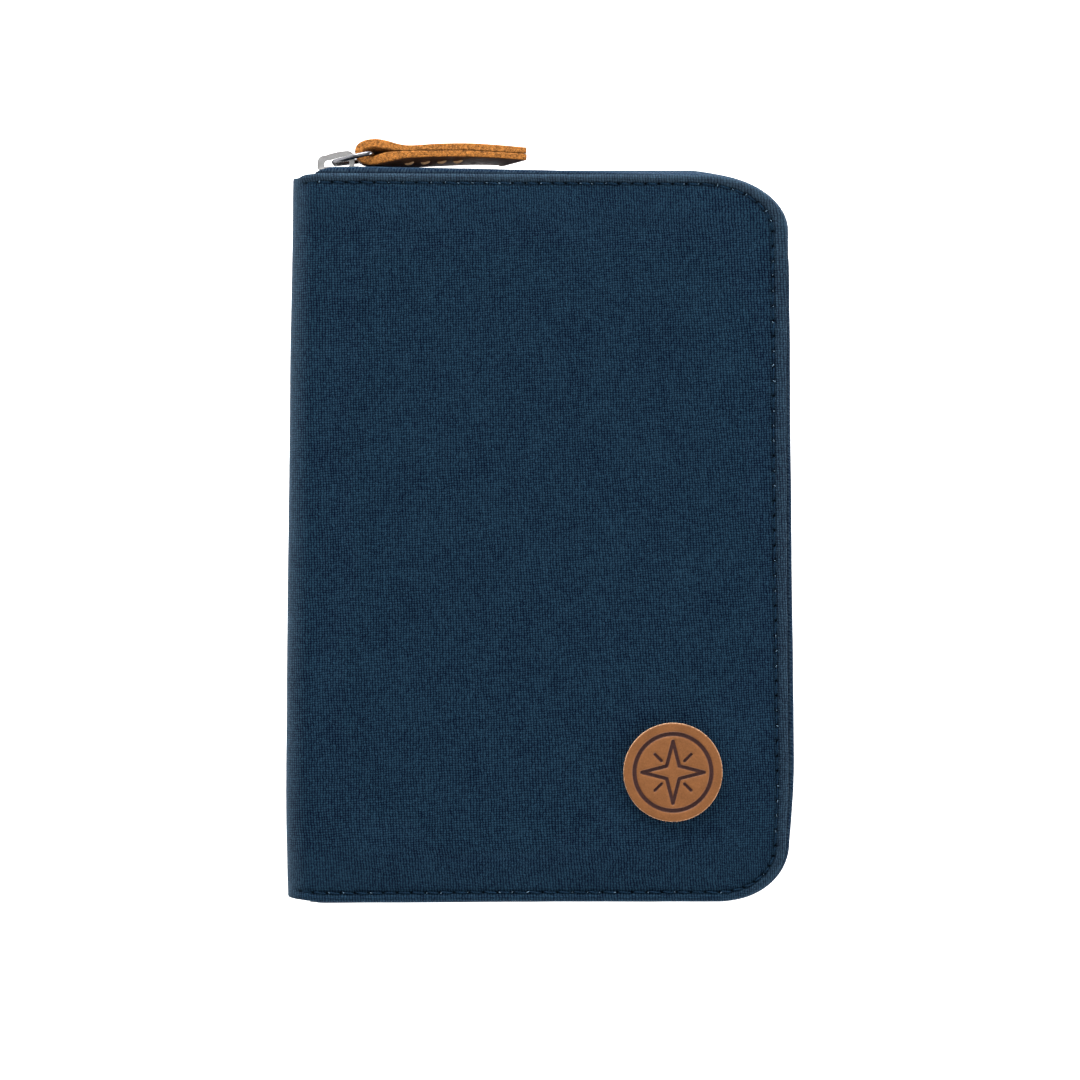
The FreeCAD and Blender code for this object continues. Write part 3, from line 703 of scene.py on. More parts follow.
def canvas(side):
    """One half of the outer cloth: a cover's face with its hem, its fold and half of the spine."""
    rim = Rim(U_START, STATION, PER_STITCH)
    rows = len(RIM_SECTION)
    reach = (RIM_SECTION[-1][0] + distance_along(RIM_SECTION[::-1]))[::-1]
    u_all, y_all, h_all, flat, painted_shade, painted_highlight = [], [], [], [], [], []
    # painted highlight is strongest on the upper edge, which faces the top light, less on the right edge and
    # least on the lower edge
    facing_light = np.clip(rim.out[:, 1], 0, 1) + 0.55 * rim.out[:, 0] + 0.1 * np.clip(-rim.out[:, 1], 0, 1)
    station = np.arange(rim.count)
    step = (station - LEAD) % PER_STITCH
    sewn = (station >= LEAD) & (station <= rim.count - 1 - LEAD)
    beside = (step == 1) | (step == PER_STITCH - 1)
    for (offset, height), cloth in zip(RIM_SECTION, reach):
        p = rim.at(offset)
        flatter = smooth((p[:, 0] - FOLD_X + 4.4) / 3.4)
        relief = flatter if offset < ROLL_TOP else 0.3 + 0.7 * flatter
        relief = relief if height > HEM_TOP else 1.0
        h = height * relief + rim_pucker(rim, offset) + panel_height(p[:, 0], p[:, 1], -offset)
        u_all.append(p[:, 0])
        y_all.append(p[:, 1] - np.sign(p[:, 1]) * spine_slope(p[:, 0], p[:, 1]) * (1 + offset / CORNER_R))
        h_all.append(h)
        flat.append(rim.at(cloth))
        # painted shade in the stitch holes and on the hem's tucked-under rows
        near = math.exp(-((offset + STITCH_IN) / 0.36) ** 2)
        hole = (step == 0) + 0.2 * beside
        painted_shade.append(np.maximum(sewn * hole * near, 0.8 if height < HEM_TOP else 0.0))
        # the painted highlight on the rolled edge and round the fold
        painted_highlight.append(np.maximum(facing_light * np.interp(offset, HIGHLIGHT_AT, HIGHLIGHT_BY_OFFSET), spine_highlight(p[:, 0])))
    uu, yy = np.meshgrid(rim.u, rim.y)
    uu, yy = uu.ravel(), yy.ravel()
    inside = np.minimum(EDGE - uu, HALF - np.abs(yy))
    u_all.append(uu)
    y_all.append(yy)
    h_all.append(panel_height(uu, yy, inside))
    flat.append(np.column_stack([uu, yy]))
    painted_shade.append(np.zeros(len(uu)))
    painted_highlight.append(spine_highlight(uu))
    u, y, h = (np.concatenate(v) for v in (u_all, y_all, h_all))
    if side == "back":
        h = np.minimum(h - 0.02, 0.0)
    points = soften(fold(u, y, h, side))
    first = rows * rim.count
    columns = rim.n_top + 1
    faces = grid_faces(rows, rim.count)
    for i in range(rim.count - 1):
        a = (rows - 1) * rim.count + i
        c0, r0 = rim.inner(i)
        c1, r1 = rim.inner(i + 1)
        d0, d1 = first + r0 * columns + c0, first + r1 * columns + c1
        faces.append((a, a + 1, d1) if d0 == d1 else (a, a + 1, d1, d0))
    faces += grid_faces(len(rim.y), columns, first)
    if side == "front":
        faces = flipped(faces)
    made = add_mesh(side + "_canvas", points, faces, CANVAS, np.concatenate(flat),
                    {"painted_shade": np.concatenate(painted_shade), "painted_highlight": np.concatenate(painted_highlight)})
    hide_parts(side + "_outer_fabric", "spine_outer_fabric")
    bend(made, side)


def bend(piece, side):
    """Bakes the piece's placement into its mesh, the same for either side."""
    if side == "back":
        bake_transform(piece)
    else:
        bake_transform(piece)


# ---- Stitches --------------------------------------------------------------------------------------------
def stitch(strands, start, end, up, radius=0.15, lift=0.17, sink=0.3, span_share=0.9):
    """One stitch of thread from hole to hole, arched over the cloth."""
    start, end, up = (np.asarray(v, float) for v in (start, end, up))
    t = np.linspace(0, 1, 9)
    arch = np.sin(math.pi * t) ** 0.6 * (lift + sink) - sink
    line = start + (end - start) * (0.5 + (t - 0.5) * span_share)[:, None] + up * arch[:, None]
    thick = radius * np.array([0.6, 0.95, 1.0, 1.0, 1.0, 1.0, 1.0, 0.95, 0.6])
    strands.add(line, thick, up=up + 0.001, flatten=0.85)


def layers_below(side, x, y):
    """How many pocket sheets the inner row of stitches passes over."""
    if side == "back":
        ticket = span("ticket_pocket")
        return 1 + ((x > ticket[0][0]) & (y < ticket[1][1]))
    mouths = [span("card_pocket_" + n)[1][1] for n in ("upper", "middle", "lower")]
    return 1 + sum((y < m).astype(int) for m in mouths)


def seam(side):
    """The lock stitches round a cover, outside on the canvas and inside on the lining."""
    rim = Rim(U_START, STATION, PER_STITCH)
    holes = np.arange(LEAD, rim.count - LEAD, PER_STITCH)
    middle = rim.at(-STITCH_IN)[holes]
    across = rim.out[holes]
    wander = 0.07 * waves(holes, holes * 0, 3.0, 2.2)
    middle = middle + across * wander[:, None]
    outer, inner, ends = Strands(), Strands(), Strands()
    sign = 1 if side == "front" else -1
    slope = spine_slope(middle[:, 0], middle[:, 1])
    y = middle[:, 1] - np.sign(middle[:, 1]) * slope
    outside = soften(fold(middle[:, 0], y, CHANNEL, side))
    depth = LINING_DEPTH + LAYER * layers_below(side, middle[:, 0], y) - 0.1
    within = soften(fold(np.maximum(middle[:, 0], FOLD_X - 1), y, -depth, side))
    for i in range(len(holes) - 1):
        random = waves([i], [0.5], 1.37, 7.7)[0]
        slant = (0.12 + 0.12 * random) * np.append(across[i], 0)
        up = np.array([0.0, 0.0, sign])
        if middle[i, 0] < FOLD_X:
            turn = min((FOLD_X - middle[i, 0]) / FOLD_R, 1.2) / 1.6
            up = np.array([-math.sin(turn), 0.0, sign * math.cos(turn)])
        stitch(outer, outside[i] + slant, outside[i + 1] - slant, up, lift=0.15 + 0.1 * random,
               span_share=0.86 + 0.1 * random)
        if middle[i, 0] > FOLD_X + 1.5:
            stitch(inner, within[i] + slant, within[i + 1] - slant, (0, 0, -sign), lift=0.16)
    # loose ends of fibre at some of the holes, coloured lighter than the thread as painted glints
    for i in range(1, len(holes) - 1):
        turn = waves([i, i, i], [0.2, 4.4, 8.1], 1.7, 3.3)
        if turn[0] > -0.05 and middle[i, 0] > FOLD_X:
            angle = 6 * turn[1]
            reach = np.array([math.cos(angle), math.sin(angle), 0]) * (0.15 + 0.18 * turn[2])
            drift = np.append(middle[i + 1] - middle[i], 0) * 0.3 * turn[1]
            root = outside[i] + drift + reach * 0.6 + np.array([0, 0, sign * 0.06])
            nub = [root - reach, root + np.array([0, 0, 0.13 * sign]), root + reach]
            ends.add(nub, 0.066 + 0.02 * turn[2], sides=6, up=(0.1, 0.2, 1.0))
    made = outer.build(side + "_seam_outside", THREAD)
    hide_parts(side + "_topstitch")
    lining_row = inner.build(side + "_seam_inside", THREAD)
    nubs = ends.build(side + "_seam_nubs", THREAD_ENDS_GLINT)
    for piece in (made, lining_row, nubs):
        bend(piece, side)


# ---- Zip -------------------------------------------------------------------------------------------------
TAPE_X = -44.5           # where both tapes start and end beside the spine
TAPE_T = 0.55
BAND_TOP = 10.9          # the tape's swollen part lies above this
# the tape's section, from its sewn flange to the chain: (offset from the edge, z, share of the swelling)
TAPE_SECTION = [
    (-5.2, 12.95, 0), (-2.5, 12.95, 0), (-0.35, 12.84, 0), (0.0, 12.8, 0.10), (0.02, 12.72, 0.35),
    (0.05, 12.5, 0.75), (0.05, 12.1, 0.97), (0.0, 11.6, 1.0), (0.0, 11.2, 0.8), (0.0, BAND_TOP, 0.45),
    (0.0, 10.5, 0.15), (-0.05, 10.0, 0), (0.05, 9.0, 0), (0.3, 8.2, 0),
]
SWELLING = [1.2, 1.3, 0.68, 0.16, -0.35, -0.3, 0.45, 0.95, 1.3, 0.6, 0.2, 0.3]


def tape_swelling(rim, s, side):
    """How far the tape bulges out over the roll, at each station."""
    start = smooth((s + 0.3) / 1.3) * smooth((s[-1] - s) / 2.4)
    a, b, c = s[[rim.n_top, rim.n_top + rim.n_arc, rim.n_top + rim.n_arc + rim.n_side]]
    where = [0, 12, 52, a - 8, a + 5, b - 3, b + 6, b + 50, c - 14, c + 8, c + 22, s[-1]]
    swell = np.interp(s, where, SWELLING)
    if side == "back":
        swell = 0.3 + 0.5 * swell + 0.35 * smooth((12 - s) / 4)
    return swell * start + 0.05 * waves(s, s * 0, 7.0, 4.4)


def tape_inner_side(o, z, w):
    """The inner side's point behind one of the outer side's."""
    if z < BAND_TOP:
        return o - TAPE_T, z, w * 0.55
    return (o - 0.15 if w > 0.3 else o), z - TAPE_T * 0.9, w * 0.55


def zip_tape(side):
    """The tape from its sewn flange, out over the roll beside the canvas, and down to the middle."""
    rim = Rim(TAPE_X, 0.9)
    s = rim.along()
    swell = tape_swelling(rim, s, side)
    top = MID + 0.33
    outer = TAPE_SECTION + [(0.5, top + 0.12, 0), (0.4, top, 0)]
    back = [tape_inner_side(*point) for point in outer[-2::-1]]
    section = outer + [(0.12, top, 0)] + [b for b in back if b[1] > top + 0.05]
    girth = distance_along([point[:2] for point in section])
    points = np.zeros((rim.count, len(section), 3))
    flat = np.zeros((rim.count, len(section), 2))
    emerging = np.interp(np.minimum(s, s[-1] - s), [0, 0.5, 2.0, 4.1, 6.0], [0.1, 0.5, 0.94, 1.5, 3.0])
    painted_shade = np.zeros((rim.count, len(section)))
    for k, (o, z, w) in enumerate(section):
        offset = np.minimum(o + w * swell, emerging - 0.1 * (k >= len(outer)))
        # painted shade where the tape's upper part tucks under the canvas roll
        painted_shade[:, k] = smooth((z - 12.55) / 0.3) * 0.7
        p = rim.at(offset)
        ripple = 0.04 * waves(s, s * 0 + z, 4.0, 6.1) if z < 12 else 0 * s
        points[:, k] = np.column_stack([p, z + ripple])
        flat[:, k] = np.column_stack([s, np.full(rim.count, girth[k])])
    points = points.reshape(-1, 3)
    faces = tube_faces(rim.count, len(section))
    if side == "back":
        points[:, 2] = THICK - points[:, 2]
        faces = flipped(faces)
    held = near_slider(points) * (1 - smooth((np.abs(points[:, 2] - MID) - 3.65) / 0.7))
    made = add_mesh(side + "_zip_band", soften(points, held), faces, TAPE, flat.reshape(-1, 2),
                    {"painted_shade": painted_shade.ravel()})
    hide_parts(side + "_zip_tape")
    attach(made, cover_body(side))


COIL_PITCH = 1.2
COIL_IN = -0.68          # offset of the chain's middle from the cover's edge
COIL_START = -40.9       # x where the back chain starts, behind the slider
FRONT_COIL_START = -33.8
COIL_END = -36.0


def zip_coil(side):
    """The chain's filament, one flattened helix whose heads pass between the other side's, and its cord."""
    rim = Rim(COIL_START, 0.6)
    s = rim.along()
    end = s[-1] - (COIL_END - COIL_START)
    first = 0.0 if side == "back" else FRONT_COIL_START - COIL_START
    turns = int((end - first) / COIL_PITCH) - 1
    per_turn = 14
    t = np.arange(turns * per_turn + 1) / per_turn
    along = first + 0.5 + (t + (0 if side == "back" else 0.5)) * COIL_PITCH
    angle = 2 * math.pi * t
    offset = COIL_IN + 0.36 * np.cos(angle)
    z = 6.35 - 0.98 * np.sin(angle)
    along = along + 0.16 * np.sin(2 * angle)
    bx, by = (np.interp(along, s, rim.base[:, k]) for k in (0, 1))
    ox, oy = (np.interp(along, s, rim.out[:, k]) for k in (0, 1))
    line = np.column_stack([bx + ox * offset, by + oy * offset, z])
    if side == "front":
        line[:, 2] = THICK - line[:, 2]
    strands = Strands()
    strands.add(line, 0.2, sides=6, up=(0.05, 0.03, 1.0))
    made = strands.build(side + "_coil", COIL, held_straight)
    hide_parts(side + "_zip_coil")
    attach(made, cover_body(side))
    cord = Strands()
    keep = (s > first + 0.4) & (s < end - 0.4)
    core = np.column_stack([rim.at(COIL_IN)[keep], np.full(keep.sum(), 6.05)])
    if side == "front":
        core[:, 2] = THICK - core[:, 2]
    cord.add(core, 0.16, sides=8, up=(0.05, 0.03, 1.0))
    core_piece = cord.build(side + "_coil_cord", THREAD, held_straight)
    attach(core_piece, cover_body(side))


def zip_stop(node, x, sign, offset):
    """A small clip pinched over the edge of the back tape."""
    strands = Strands()
    bow = [(-0.42, 5.5), (-0.45, 6.2), (-0.35, 6.75), (0.0, 7.0), (0.35, 6.75), (0.42, 6.2), (0.36, 5.6)]
    line = [(x, sign * (HALF + offset + o), z) for o, z in bow]
    strands.add(line, 0.2, sides=12, up=(1, 0, 0), flatten=1.6)
    made = strands.build(node + "_clip", CAST, soften)
    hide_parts(node)
    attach(made, "root")


# ---- Sheets inside ---------------------------------------------------------------------------------------
def right_edge(y, inset):
    """X of a cover's free edge at y, drawn in by inset and rounded at the corners."""
    r = CORNER_R - inset
    cy = HALF - CORNER_R
    over = np.clip(np.abs(y) - cy, 0, r)
    return EDGE - CORNER_R + np.sqrt(np.maximum(r * r - over * over, 0))


PANEL_COLUMNS = 72


def crowded(n):
    """n steps from 0 to 1, closer towards both ends."""
    return 0.5 - 0.5 * np.cos(math.pi * np.linspace(0, 1, n + 1))


def panel(name, side, material, inset, left, low, high, depth, thick, spacing=1.1, slack=0.06, seed=1.0):
    """A closed sheet with a cover's outline. left is its left edge at y, and depth how deep its outer side
    lies. Its rows and columns crowd towards the ends, so that the corners stay round."""
    rows = max(int((high - low) / spacing), 8)
    columns = PANEL_COLUMNS
    y = low + (high - low) * crowded(rows)
    t = crowded(columns)
    x_left = left(y)
    x_right = right_edge(y, inset)
    u = x_left[:, None] + (x_right - x_left)[:, None] * t[None, :]
    yy = np.repeat(y[:, None], columns + 1, axis=1)
    rim_gap = np.minimum.reduce([u - x_left[:, None], x_right[:, None] - u, yy - low, high - yy])
    rounding = np.sqrt(smooth(rim_gap / (0.9 * thick)))
    d = depth(u, yy) + slack * waves(u.ravel(), yy.ravel(), 14.0, seed).reshape(u.shape) * smooth(rim_gap / 5)
    yy = yy - np.sign(yy) * spine_slope(u, yy) * np.clip((np.abs(yy) - HALF + CORNER_R) / CORNER_R, 0, 1)
    outer = d + thick / 2 * (1 - rounding)
    inner = d + thick / 2 * (1 + rounding)
    points = np.concatenate([
        soften(fold(u.ravel(), yy.ravel(), -outer.ravel(), side)),
        soften(fold(u.ravel(), yy.ravel(), -inner.ravel(), side)),
    ])
    size = outer.size
    faces = grid_faces(rows + 1, columns + 1) + flipped(grid_faces(rows + 1, columns + 1, size))
    border = grid_border(rows + 1, columns + 1)
    for a, b in zip(border, border[1:] + border[:1]):
        faces.append((b, a, a + size, b + size))
    if side == "back":
        faces = flipped(faces)
    flat = np.column_stack([u.ravel(), yy.ravel()])
    return add_mesh(name, points, faces, material, np.concatenate([flat, flat]))


LINING_T = 0.35
LINING_IN = 0.8          # between the lining's ends and the cover's
CANVAS_DEPTH = 0.55      # how deep the canvas's inner side lies


def straight_left(x):
    """A sheet's straight left edge at x."""
    return lambda y: np.full(len(y), x)


def foam(side):
    low, high = span(side + "_foam_pad")
    inset = EDGE - high[0]
    made = panel(side + "_foam", side, FOAM, inset, straight_left(low[0]), low[1], high[1],
                 lambda u, y: np.full(u.shape, CANVAS_DEPTH), 1.0, spacing=3.0, slack=0.0)
    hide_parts(side + "_foam_pad")
    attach(made, cover_body(side))


def lining(side):
    """Inner cloth of a cover and of half of the spine. It dips to the canvas at the fold."""
    dip = FOLD_X - 3.5
    pad = span(side + "_foam_pad")[0][0] - 0.6
    end = HALF - LINING_IN

    def depth(u, y):
        under = LINING_DEPTH - LINING_T
        return CANVAS_DEPTH + (under - CANVAS_DEPTH) * smooth((u - dip) / (pad - dip))
    made = panel(side + "_lining_cloth", side, LINING, 0.5, straight_left(U_START), -end, end, depth,
                 LINING_T, seed=4.0)
    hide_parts(side + "_lining", "spine_lining")
    bend(made, side)


POCKET_IN = 1.3          # between the pockets' sewn edges and the cover's
MOUTH_IN = 1.4           # and between their mouths' ends and the cover's free edge
MOUTH_END = 1.5          # and between an upright mouth's ends and the cover's


def pocket_depth(inset, level, order):
    """Depth of a pocket sheet: its own level in the open, pressed into the seam at its sewn edge."""
    def depth(u, y):
        gap = np.minimum(right_edge(y.ravel(), inset).reshape(y.shape) - u, HALF - inset - np.abs(y))
        sewn = LINING_DEPTH + LAYER * order
        return sewn + (level - sewn) * smooth((gap - 0.8) / 4.5)
    return depth


def cover_pocket(node, side, order, left=None, swell=0.0):
    """A pocket sheet in the place of its CAD node."""
    low, high = span(node)
    level = low[2] if side == "back" else THICK - high[2]
    inset = POCKET_IN
    full_height = high[1] > HALF - 4
    top = HALF - inset if full_height else min(high[1], HALF - inset)
    base = pocket_depth(inset, max(level, LINING_DEPTH + 0.2), order)

    def depth(u, y):
        return base(u, y) + swell * smooth((u - low[0]) / 30) * smooth((HALF - np.abs(y)) / 25)
    made = panel(node + "_cloth", side, POCKET, inset, left or straight_left(low[0]), -HALF + inset, top,
                 depth, SHEET, seed=order * 3.3 + 1)
    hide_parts(node)
    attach(made, cover_body(side))


NOTCH_DEPTH = 9.0        # the hollow for the thumb, in from the pocket's mouth
NOTCH_HALF = 14.0


def mouth_x(y):
    """The passport pocket's mouth, with a hollow for the thumb."""
    x0 = span("passport_pocket")[0][0]
    return x0 + NOTCH_DEPTH * (0.5 + 0.5 * np.cos(math.pi * np.clip(y / NOTCH_HALF, -1, 1)))


BINDING_STITCH = 2.6


def ribbon(name, node, side, edge, inward, depth, width=4.0, stitched=(0.9, 3.2)):
    """Edge tape folded over a pocket's mouth, with its stitches. edge and inward are (x, y) per station."""
    section = [
        (-0.22, 0.30), (-0.26, 0.12), (-0.2, -0.06), (0.1, -0.16), (width * 0.35, -0.19),
        (width * 0.7, -0.18), (width - 0.15, -0.12), (width, 0.0), (width - 0.15, 0.1),
    ]
    count = len(edge)
    s = distance_along(edge)
    points, flat = [], []
    for k in range(count):
        for j, (a, b) in enumerate(section):
            p = edge[k] + inward[k] * a
            d = depth[k] - b
            points.append((p[0], p[1], THICK - d if side == "front" else d))
            flat.append((a + j * 0.05, s[k]))
    faces = tube_faces(count, len(section))
    if side == "front":
        faces = flipped(faces)
    made = add_mesh(name, soften(np.array(points)), faces, BINDING, np.array(flat))
    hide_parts(node)
    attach(made, cover_body(side))
    strands = Strands()
    sign = -1 if side == "front" else 1
    n = int(s[-1] / BINDING_STITCH)
    for row in stitched:
        for k in range(n):
            ends = []
            for at in ((k + 0.08) * s[-1] / n, (k + 0.92) * s[-1] / n):
                p = [np.interp(at, s, edge[:, c] + inward[:, c] * row) for c in (0, 1)]
                d = np.interp(at, s, depth) + 0.12
                ends.append((p[0], p[1], THICK - d if side == "front" else d))
            stitch(strands, ends[0], ends[1], (0, 0, sign), radius=0.13, lift=0.14, sink=0.2)
    threads = strands.build(name + "_stitches", THREAD, soften)
    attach(threads, cover_body(side))


def level_mouth(node):
    """The upper mouth of a pocket: points along it and the way into the pocket at each."""
    low, high = span(node)
    end = EDGE - MOUTH_IN
    n = int((end - low[0]) / 1.2)
    x = np.linspace(low[0], min(end, right_edge(high[1:2], POCKET_IN)[0]), n)
    return np.column_stack([x, np.full(n, high[1])]), np.tile([0.0, -1.0], (n, 1))


def passport_and_ticket():
    """The back cover's pockets."""
    low, high = span("passport_pocket")
    cover_pocket("passport_pocket", "back", 1, left=mouth_x, swell=0.25)
    y = np.linspace(-HALF + MOUTH_END, HALF - MOUTH_END, 150)
    edge = np.column_stack([mouth_x(y), y])
    tangent = np.gradient(edge, axis=0)
    tangent /= np.linalg.norm(tangent, axis=1)[:, None]
    inward = np.column_stack([tangent[:, 1], -tangent[:, 0]])
    base = pocket_depth(POCKET_IN, high[2] - SHEET, 1)
    ribbon("passport_edge", "passport_pocket_binding", "back", edge, inward, base(edge[:, 0] + 2, y) + SHEET)
    cover_pocket("ticket_pocket", "back", 2, swell=0.15)
    edge, inward = level_mouth("ticket_pocket")
    base = pocket_depth(POCKET_IN, span("ticket_pocket")[0][2] + 0.1, 2)
    ribbon("ticket_edge", "ticket_pocket_binding", "back", edge, inward, base(edge[:, 0], edge[:, 1]) + SHEET)


def notes_and_cards():
    """The front cover's pockets."""
    low, high = span("note_pocket")
    cover_pocket("note_pocket", "front", 1)
    y = np.linspace(-HALF + MOUTH_END, HALF - MOUTH_END, 120)
    edge = np.column_stack([np.full(len(y), low[0]), y])
    base = pocket_depth(POCKET_IN, THICK - high[2], 1)
    inward = np.tile([1.0, 0.0], (len(y), 1))
    ribbon("note_edge", "note_pocket_binding", "front", edge, inward, base(edge[:, 0], y) + SHEET)
    for order, name in enumerate(("upper", "middle", "lower"), start=2):
        node = "card_pocket_" + name
        cover_pocket(node, "front", order)
        card_binding(node, order)


def card_binding(node, order):
    """A card pocket's edge tape; the three of them stand for one CAD node."""
    edge, inward = level_mouth(node)
    base = pocket_depth(POCKET_IN, THICK - span(node)[1][2], order)
    depth = base(edge[:, 0], edge[:, 1]) + SHEET
    ribbon(node + "_edge", "card_pocket_bindings", "front", edge, inward, depth, width=3.6, stitched=(0.9,))


# ---- Leather patch ---------------------------------------------------------------------------------------
def disc_map(n):
    """Points of a square grid carried onto the unit disc."""
    a, b = np.meshgrid(np.linspace(-1, 1, n), np.linspace(-1, 1, n))
    a, b = a.ravel(), b.ravel()
    big = np.abs(a) > np.abs(b)
    r = np.where(big, a, b)
    ratio = np.divide(np.where(big, b, a), r, out=np.zeros_like(r), where=r != 0)
    angle = np.where(big, math.pi / 4 * ratio, math.pi / 2 - math.pi / 4 * ratio)
    return np.column_stack([r * np.cos(angle), r * np.sin(angle)])


def segment_distance(p, a, b):
    t = np.clip(((p - a) @ (b - a)) / ((b - a) @ (b - a)), 0, 1)
    return np.linalg.norm(p - a - t[:, None] * (b - a), axis=1)


RING_R = 7.55
STAR_R, STAR_WAIST = 6.1, 1.75
RAY_FROM, RAY_TO = 3.2, 5.0
RING_LINE, STAR_LINE, RAY_LINE = 0.42, 0.36, 0.3    # half widths of the pressed lines
PRESSED_DEPTH = 0.24


def patch_lines(p):
    """How far each point lies inside the pressed lines: a ring, and a compass star with four short rays."""
    found = [RING_LINE - np.abs(np.linalg.norm(p, axis=1) - RING_R)]
    ways = [np.array([math.sin(a), math.cos(a)]) for a in math.pi / 4 * np.arange(8)]
    tips = [way * (STAR_WAIST if i % 2 else STAR_R) for i, way in enumerate(ways)]
    for a, b in zip(tips, tips[1:] + tips[:1]):
        found.append(STAR_LINE - segment_distance(p, a, b))
    for ray in ways[1::2]:
        found.append(RAY_LINE - segment_distance(p, ray * RAY_FROM, ray * RAY_TO))
    return np.max(found, axis=0)


def patch():
    """The leather disc: a pressed face and a raw cut edge, sunk a little into the canvas."""
    low, high = span("leather_patch")
    centre = (low + high) / 2
    radius = (high[0] - low[0]) / 2
    n = 181
    disc = disc_map(n) * radius
    r = np.linalg.norm(disc, axis=1)
    pressed = smooth(patch_lines(disc) / 0.14 + 0.5)
    soft = smooth(patch_lines(disc) / 0.5 + 1.0)
    thick = high[2] - THICK - 0.25
    rim_drop = 0.18 * (1 - np.sqrt(np.clip(1 - np.clip((r - radius + 0.35) / 0.35, 0, 1) ** 2, 0, 1)))
    grain = 0.02 * waves(disc[:, 0], disc[:, 1], 1.3, 2.0)
    z = thick - PRESSED_DEPTH * pressed - 0.07 * soft - rim_drop + grain
    bed = THICK + PANEL_CROWN
    faces = grid_faces(n, n)
    border = grid_border(n, n)
    points = [np.column_stack([disc + centre[:2], bed + z])]
    count = n * n
    previous = border
    masks_cut, masks_line = [smooth((r - radius + 0.12) / 0.12)], [pressed]
    for level, grow in ((thick * 0.72, 0.02), (thick * 0.4, 0.04), (0.0, 0.0), (-0.35, -0.1)):
        ring = disc[border] / np.linalg.norm(disc[border], axis=1)[:, None] * (radius + grow)
        points.append(np.column_stack([ring + centre[:2], np.full(len(border), bed + level)]))
        current = list(range(count, count + len(border)))
        for k in range(len(border)):
            j = (k + 1) % len(border)
            faces.append((previous[k], current[k], current[j], previous[j]))
        previous = current
        count += len(border)
        masks_cut.append(np.ones(len(border)))
        masks_line.append(np.zeros(len(border)))
    faces.append(tuple(previous[::-1]))
    made = add_mesh("leather_badge", np.concatenate(points), faces, PATCH_LEATHER,
                    masks={"cut": np.concatenate(masks_cut), "line": np.concatenate(masks_line)})
    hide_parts("leather_patch")
    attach(made, "front_cover")


# ---- Leather pull ----------------------------------------------------------------------------------------
# The folded strip's outer outline at its upper cut edge: (x, y, how much lower the far edge lies).
PULL_OUTLINE = [
    (-2.5, 76.3, 1.35), (-8.9, 76.86, 1.55), (-14.5, 77.15, 1.65), (-20.0, 77.05, 1.7), (-25.2, 76.75, 1.6),
    (-27.6, 77.0, 1.4), (-29.9, 77.65, 1.3), (-32.1, 78.0, 1.15), (-34.3, 77.7, 1.05), (-35.7, 76.85, 0.95),
    (-36.2, 75.5, 0.8), (-35.7, 74.0, 0.6), (-34.3, 73.1, 0.45), (-32.0, 72.98, 0.65), (-29.3, 73.6, 1.3),
    (-25.7, 74.25, 1.9), (-19.4, 74.5, 1.85), (-13.1, 74.45, 1.55), (-7.5, 74.2, 1.4), (-2.55, 73.8, 1.2),
]
PULL_NEAR_Z = 10.95
PULL_FAR_Z = 3.1
PULL_END_X = -2.5
PULL_SLANT = 4.9         # how much shorter the far edge is
LOOP_T = 1.62            # how thick the strip looks where it is bent round the ring
# the seam between the two layers, and half of the gap between them
SEAM_X = [-36, -34.3, -32.8, -31, -27, -24, -14, -2.5]
SEAM_Y = [75.75, 75.6, 75.35, 75.6, 75.65, 75.7, 75.75, 75.08]
HOLE_X = [-33.8, -32.9, -32.0, -31.2, -30.4, -29.4, -27.5, -2.0]
HOLE_HALF = [0.85, 0.98, 0.88, 0.64, 0.36, 0.15, 0.05, 0.035]
# the ring's wide bar, which the strip is folded round
BAR_X, BAR_Y = -32.74, 74.75
BAR_LEAN = math.sin(math.radians(6))
BAR_ROOM = 0.62          # from the bar's middle to the leather
PULL_STITCHES = 4
PULL_STITCH_X = -26.63
PULL_STITCH_PITCH = 3.19
PULL_STITCH_L = 2.05


def spline(points, n):
    """A smooth line through points, n stations evenly spaced along it."""
    p = np.asarray(points, float)
    padded = np.vstack([2 * p[0] - p[1], p, 2 * p[-1] - p[-2]])
    dense = []
    for i in range(1, len(padded) - 2):
        a, b, c, d = padded[i - 1:i + 3]
        for t in np.linspace(0, 1, 24, endpoint=False):
            dense.append(0.5 * (2 * b + (c - a) * t + (2 * a - 5 * b + 4 * c - d) * t * t
                                + (3 * b - a - 3 * c + d) * t ** 3))
    dense.append(p[-1])
    dense = np.array(dense)
    s = distance_along(dense[:, :2])
    at = np.linspace(0, s[-1], n)
    return np.column_stack([np.interp(at, s, dense[:, k]) for k in range(dense.shape[1])])


def pull_strip():
    """The folded strip's outline, its inward direction, and a function for its thickness."""
    n = 260
    line = spline(PULL_OUTLINE, n)
    tangent = np.gradient(line[:, :2], axis=0)
    tangent /= np.linalg.norm(tangent, axis=1)[:, None]
    inward = np.column_stack([-tangent[:, 1], tangent[:, 0]])
    seam_gap = np.abs(line[:, 1] - np.interp(line[:, 0], SEAM_X, SEAM_Y))

    def layer(depth):
        """Thickness at each station. The hole flares open at the upper edge and narrows deeper in."""
        close = smooth(depth / 2.2)
        share = depth / (PULL_NEAR_Z - PULL_FAR_Z)
        half = np.interp(line[:, 0] + 1.3 * close, HOLE_X, HOLE_HALF) * (1 - 0.36 * close)
        bar_y = BAR_Y + (PULL_NEAR_Z - MID - depth) * BAR_LEAN
        clear = np.hypot(line[:, 0] - BAR_X, line[:, 1] - line[:, 2] * share - bar_y) - BAR_ROOM
        loop = np.minimum(LOOP_T + 1.2 * close, np.maximum(clear, 1.2))
        made = loop + (seam_gap - half - loop) * smooth((line[:, 0] + 34.0) / 1.4)
        return np.convolve(np.pad(made, 4, mode="edge"), np.ones(9) / 9, mode="valid")
    return line, inward, layer


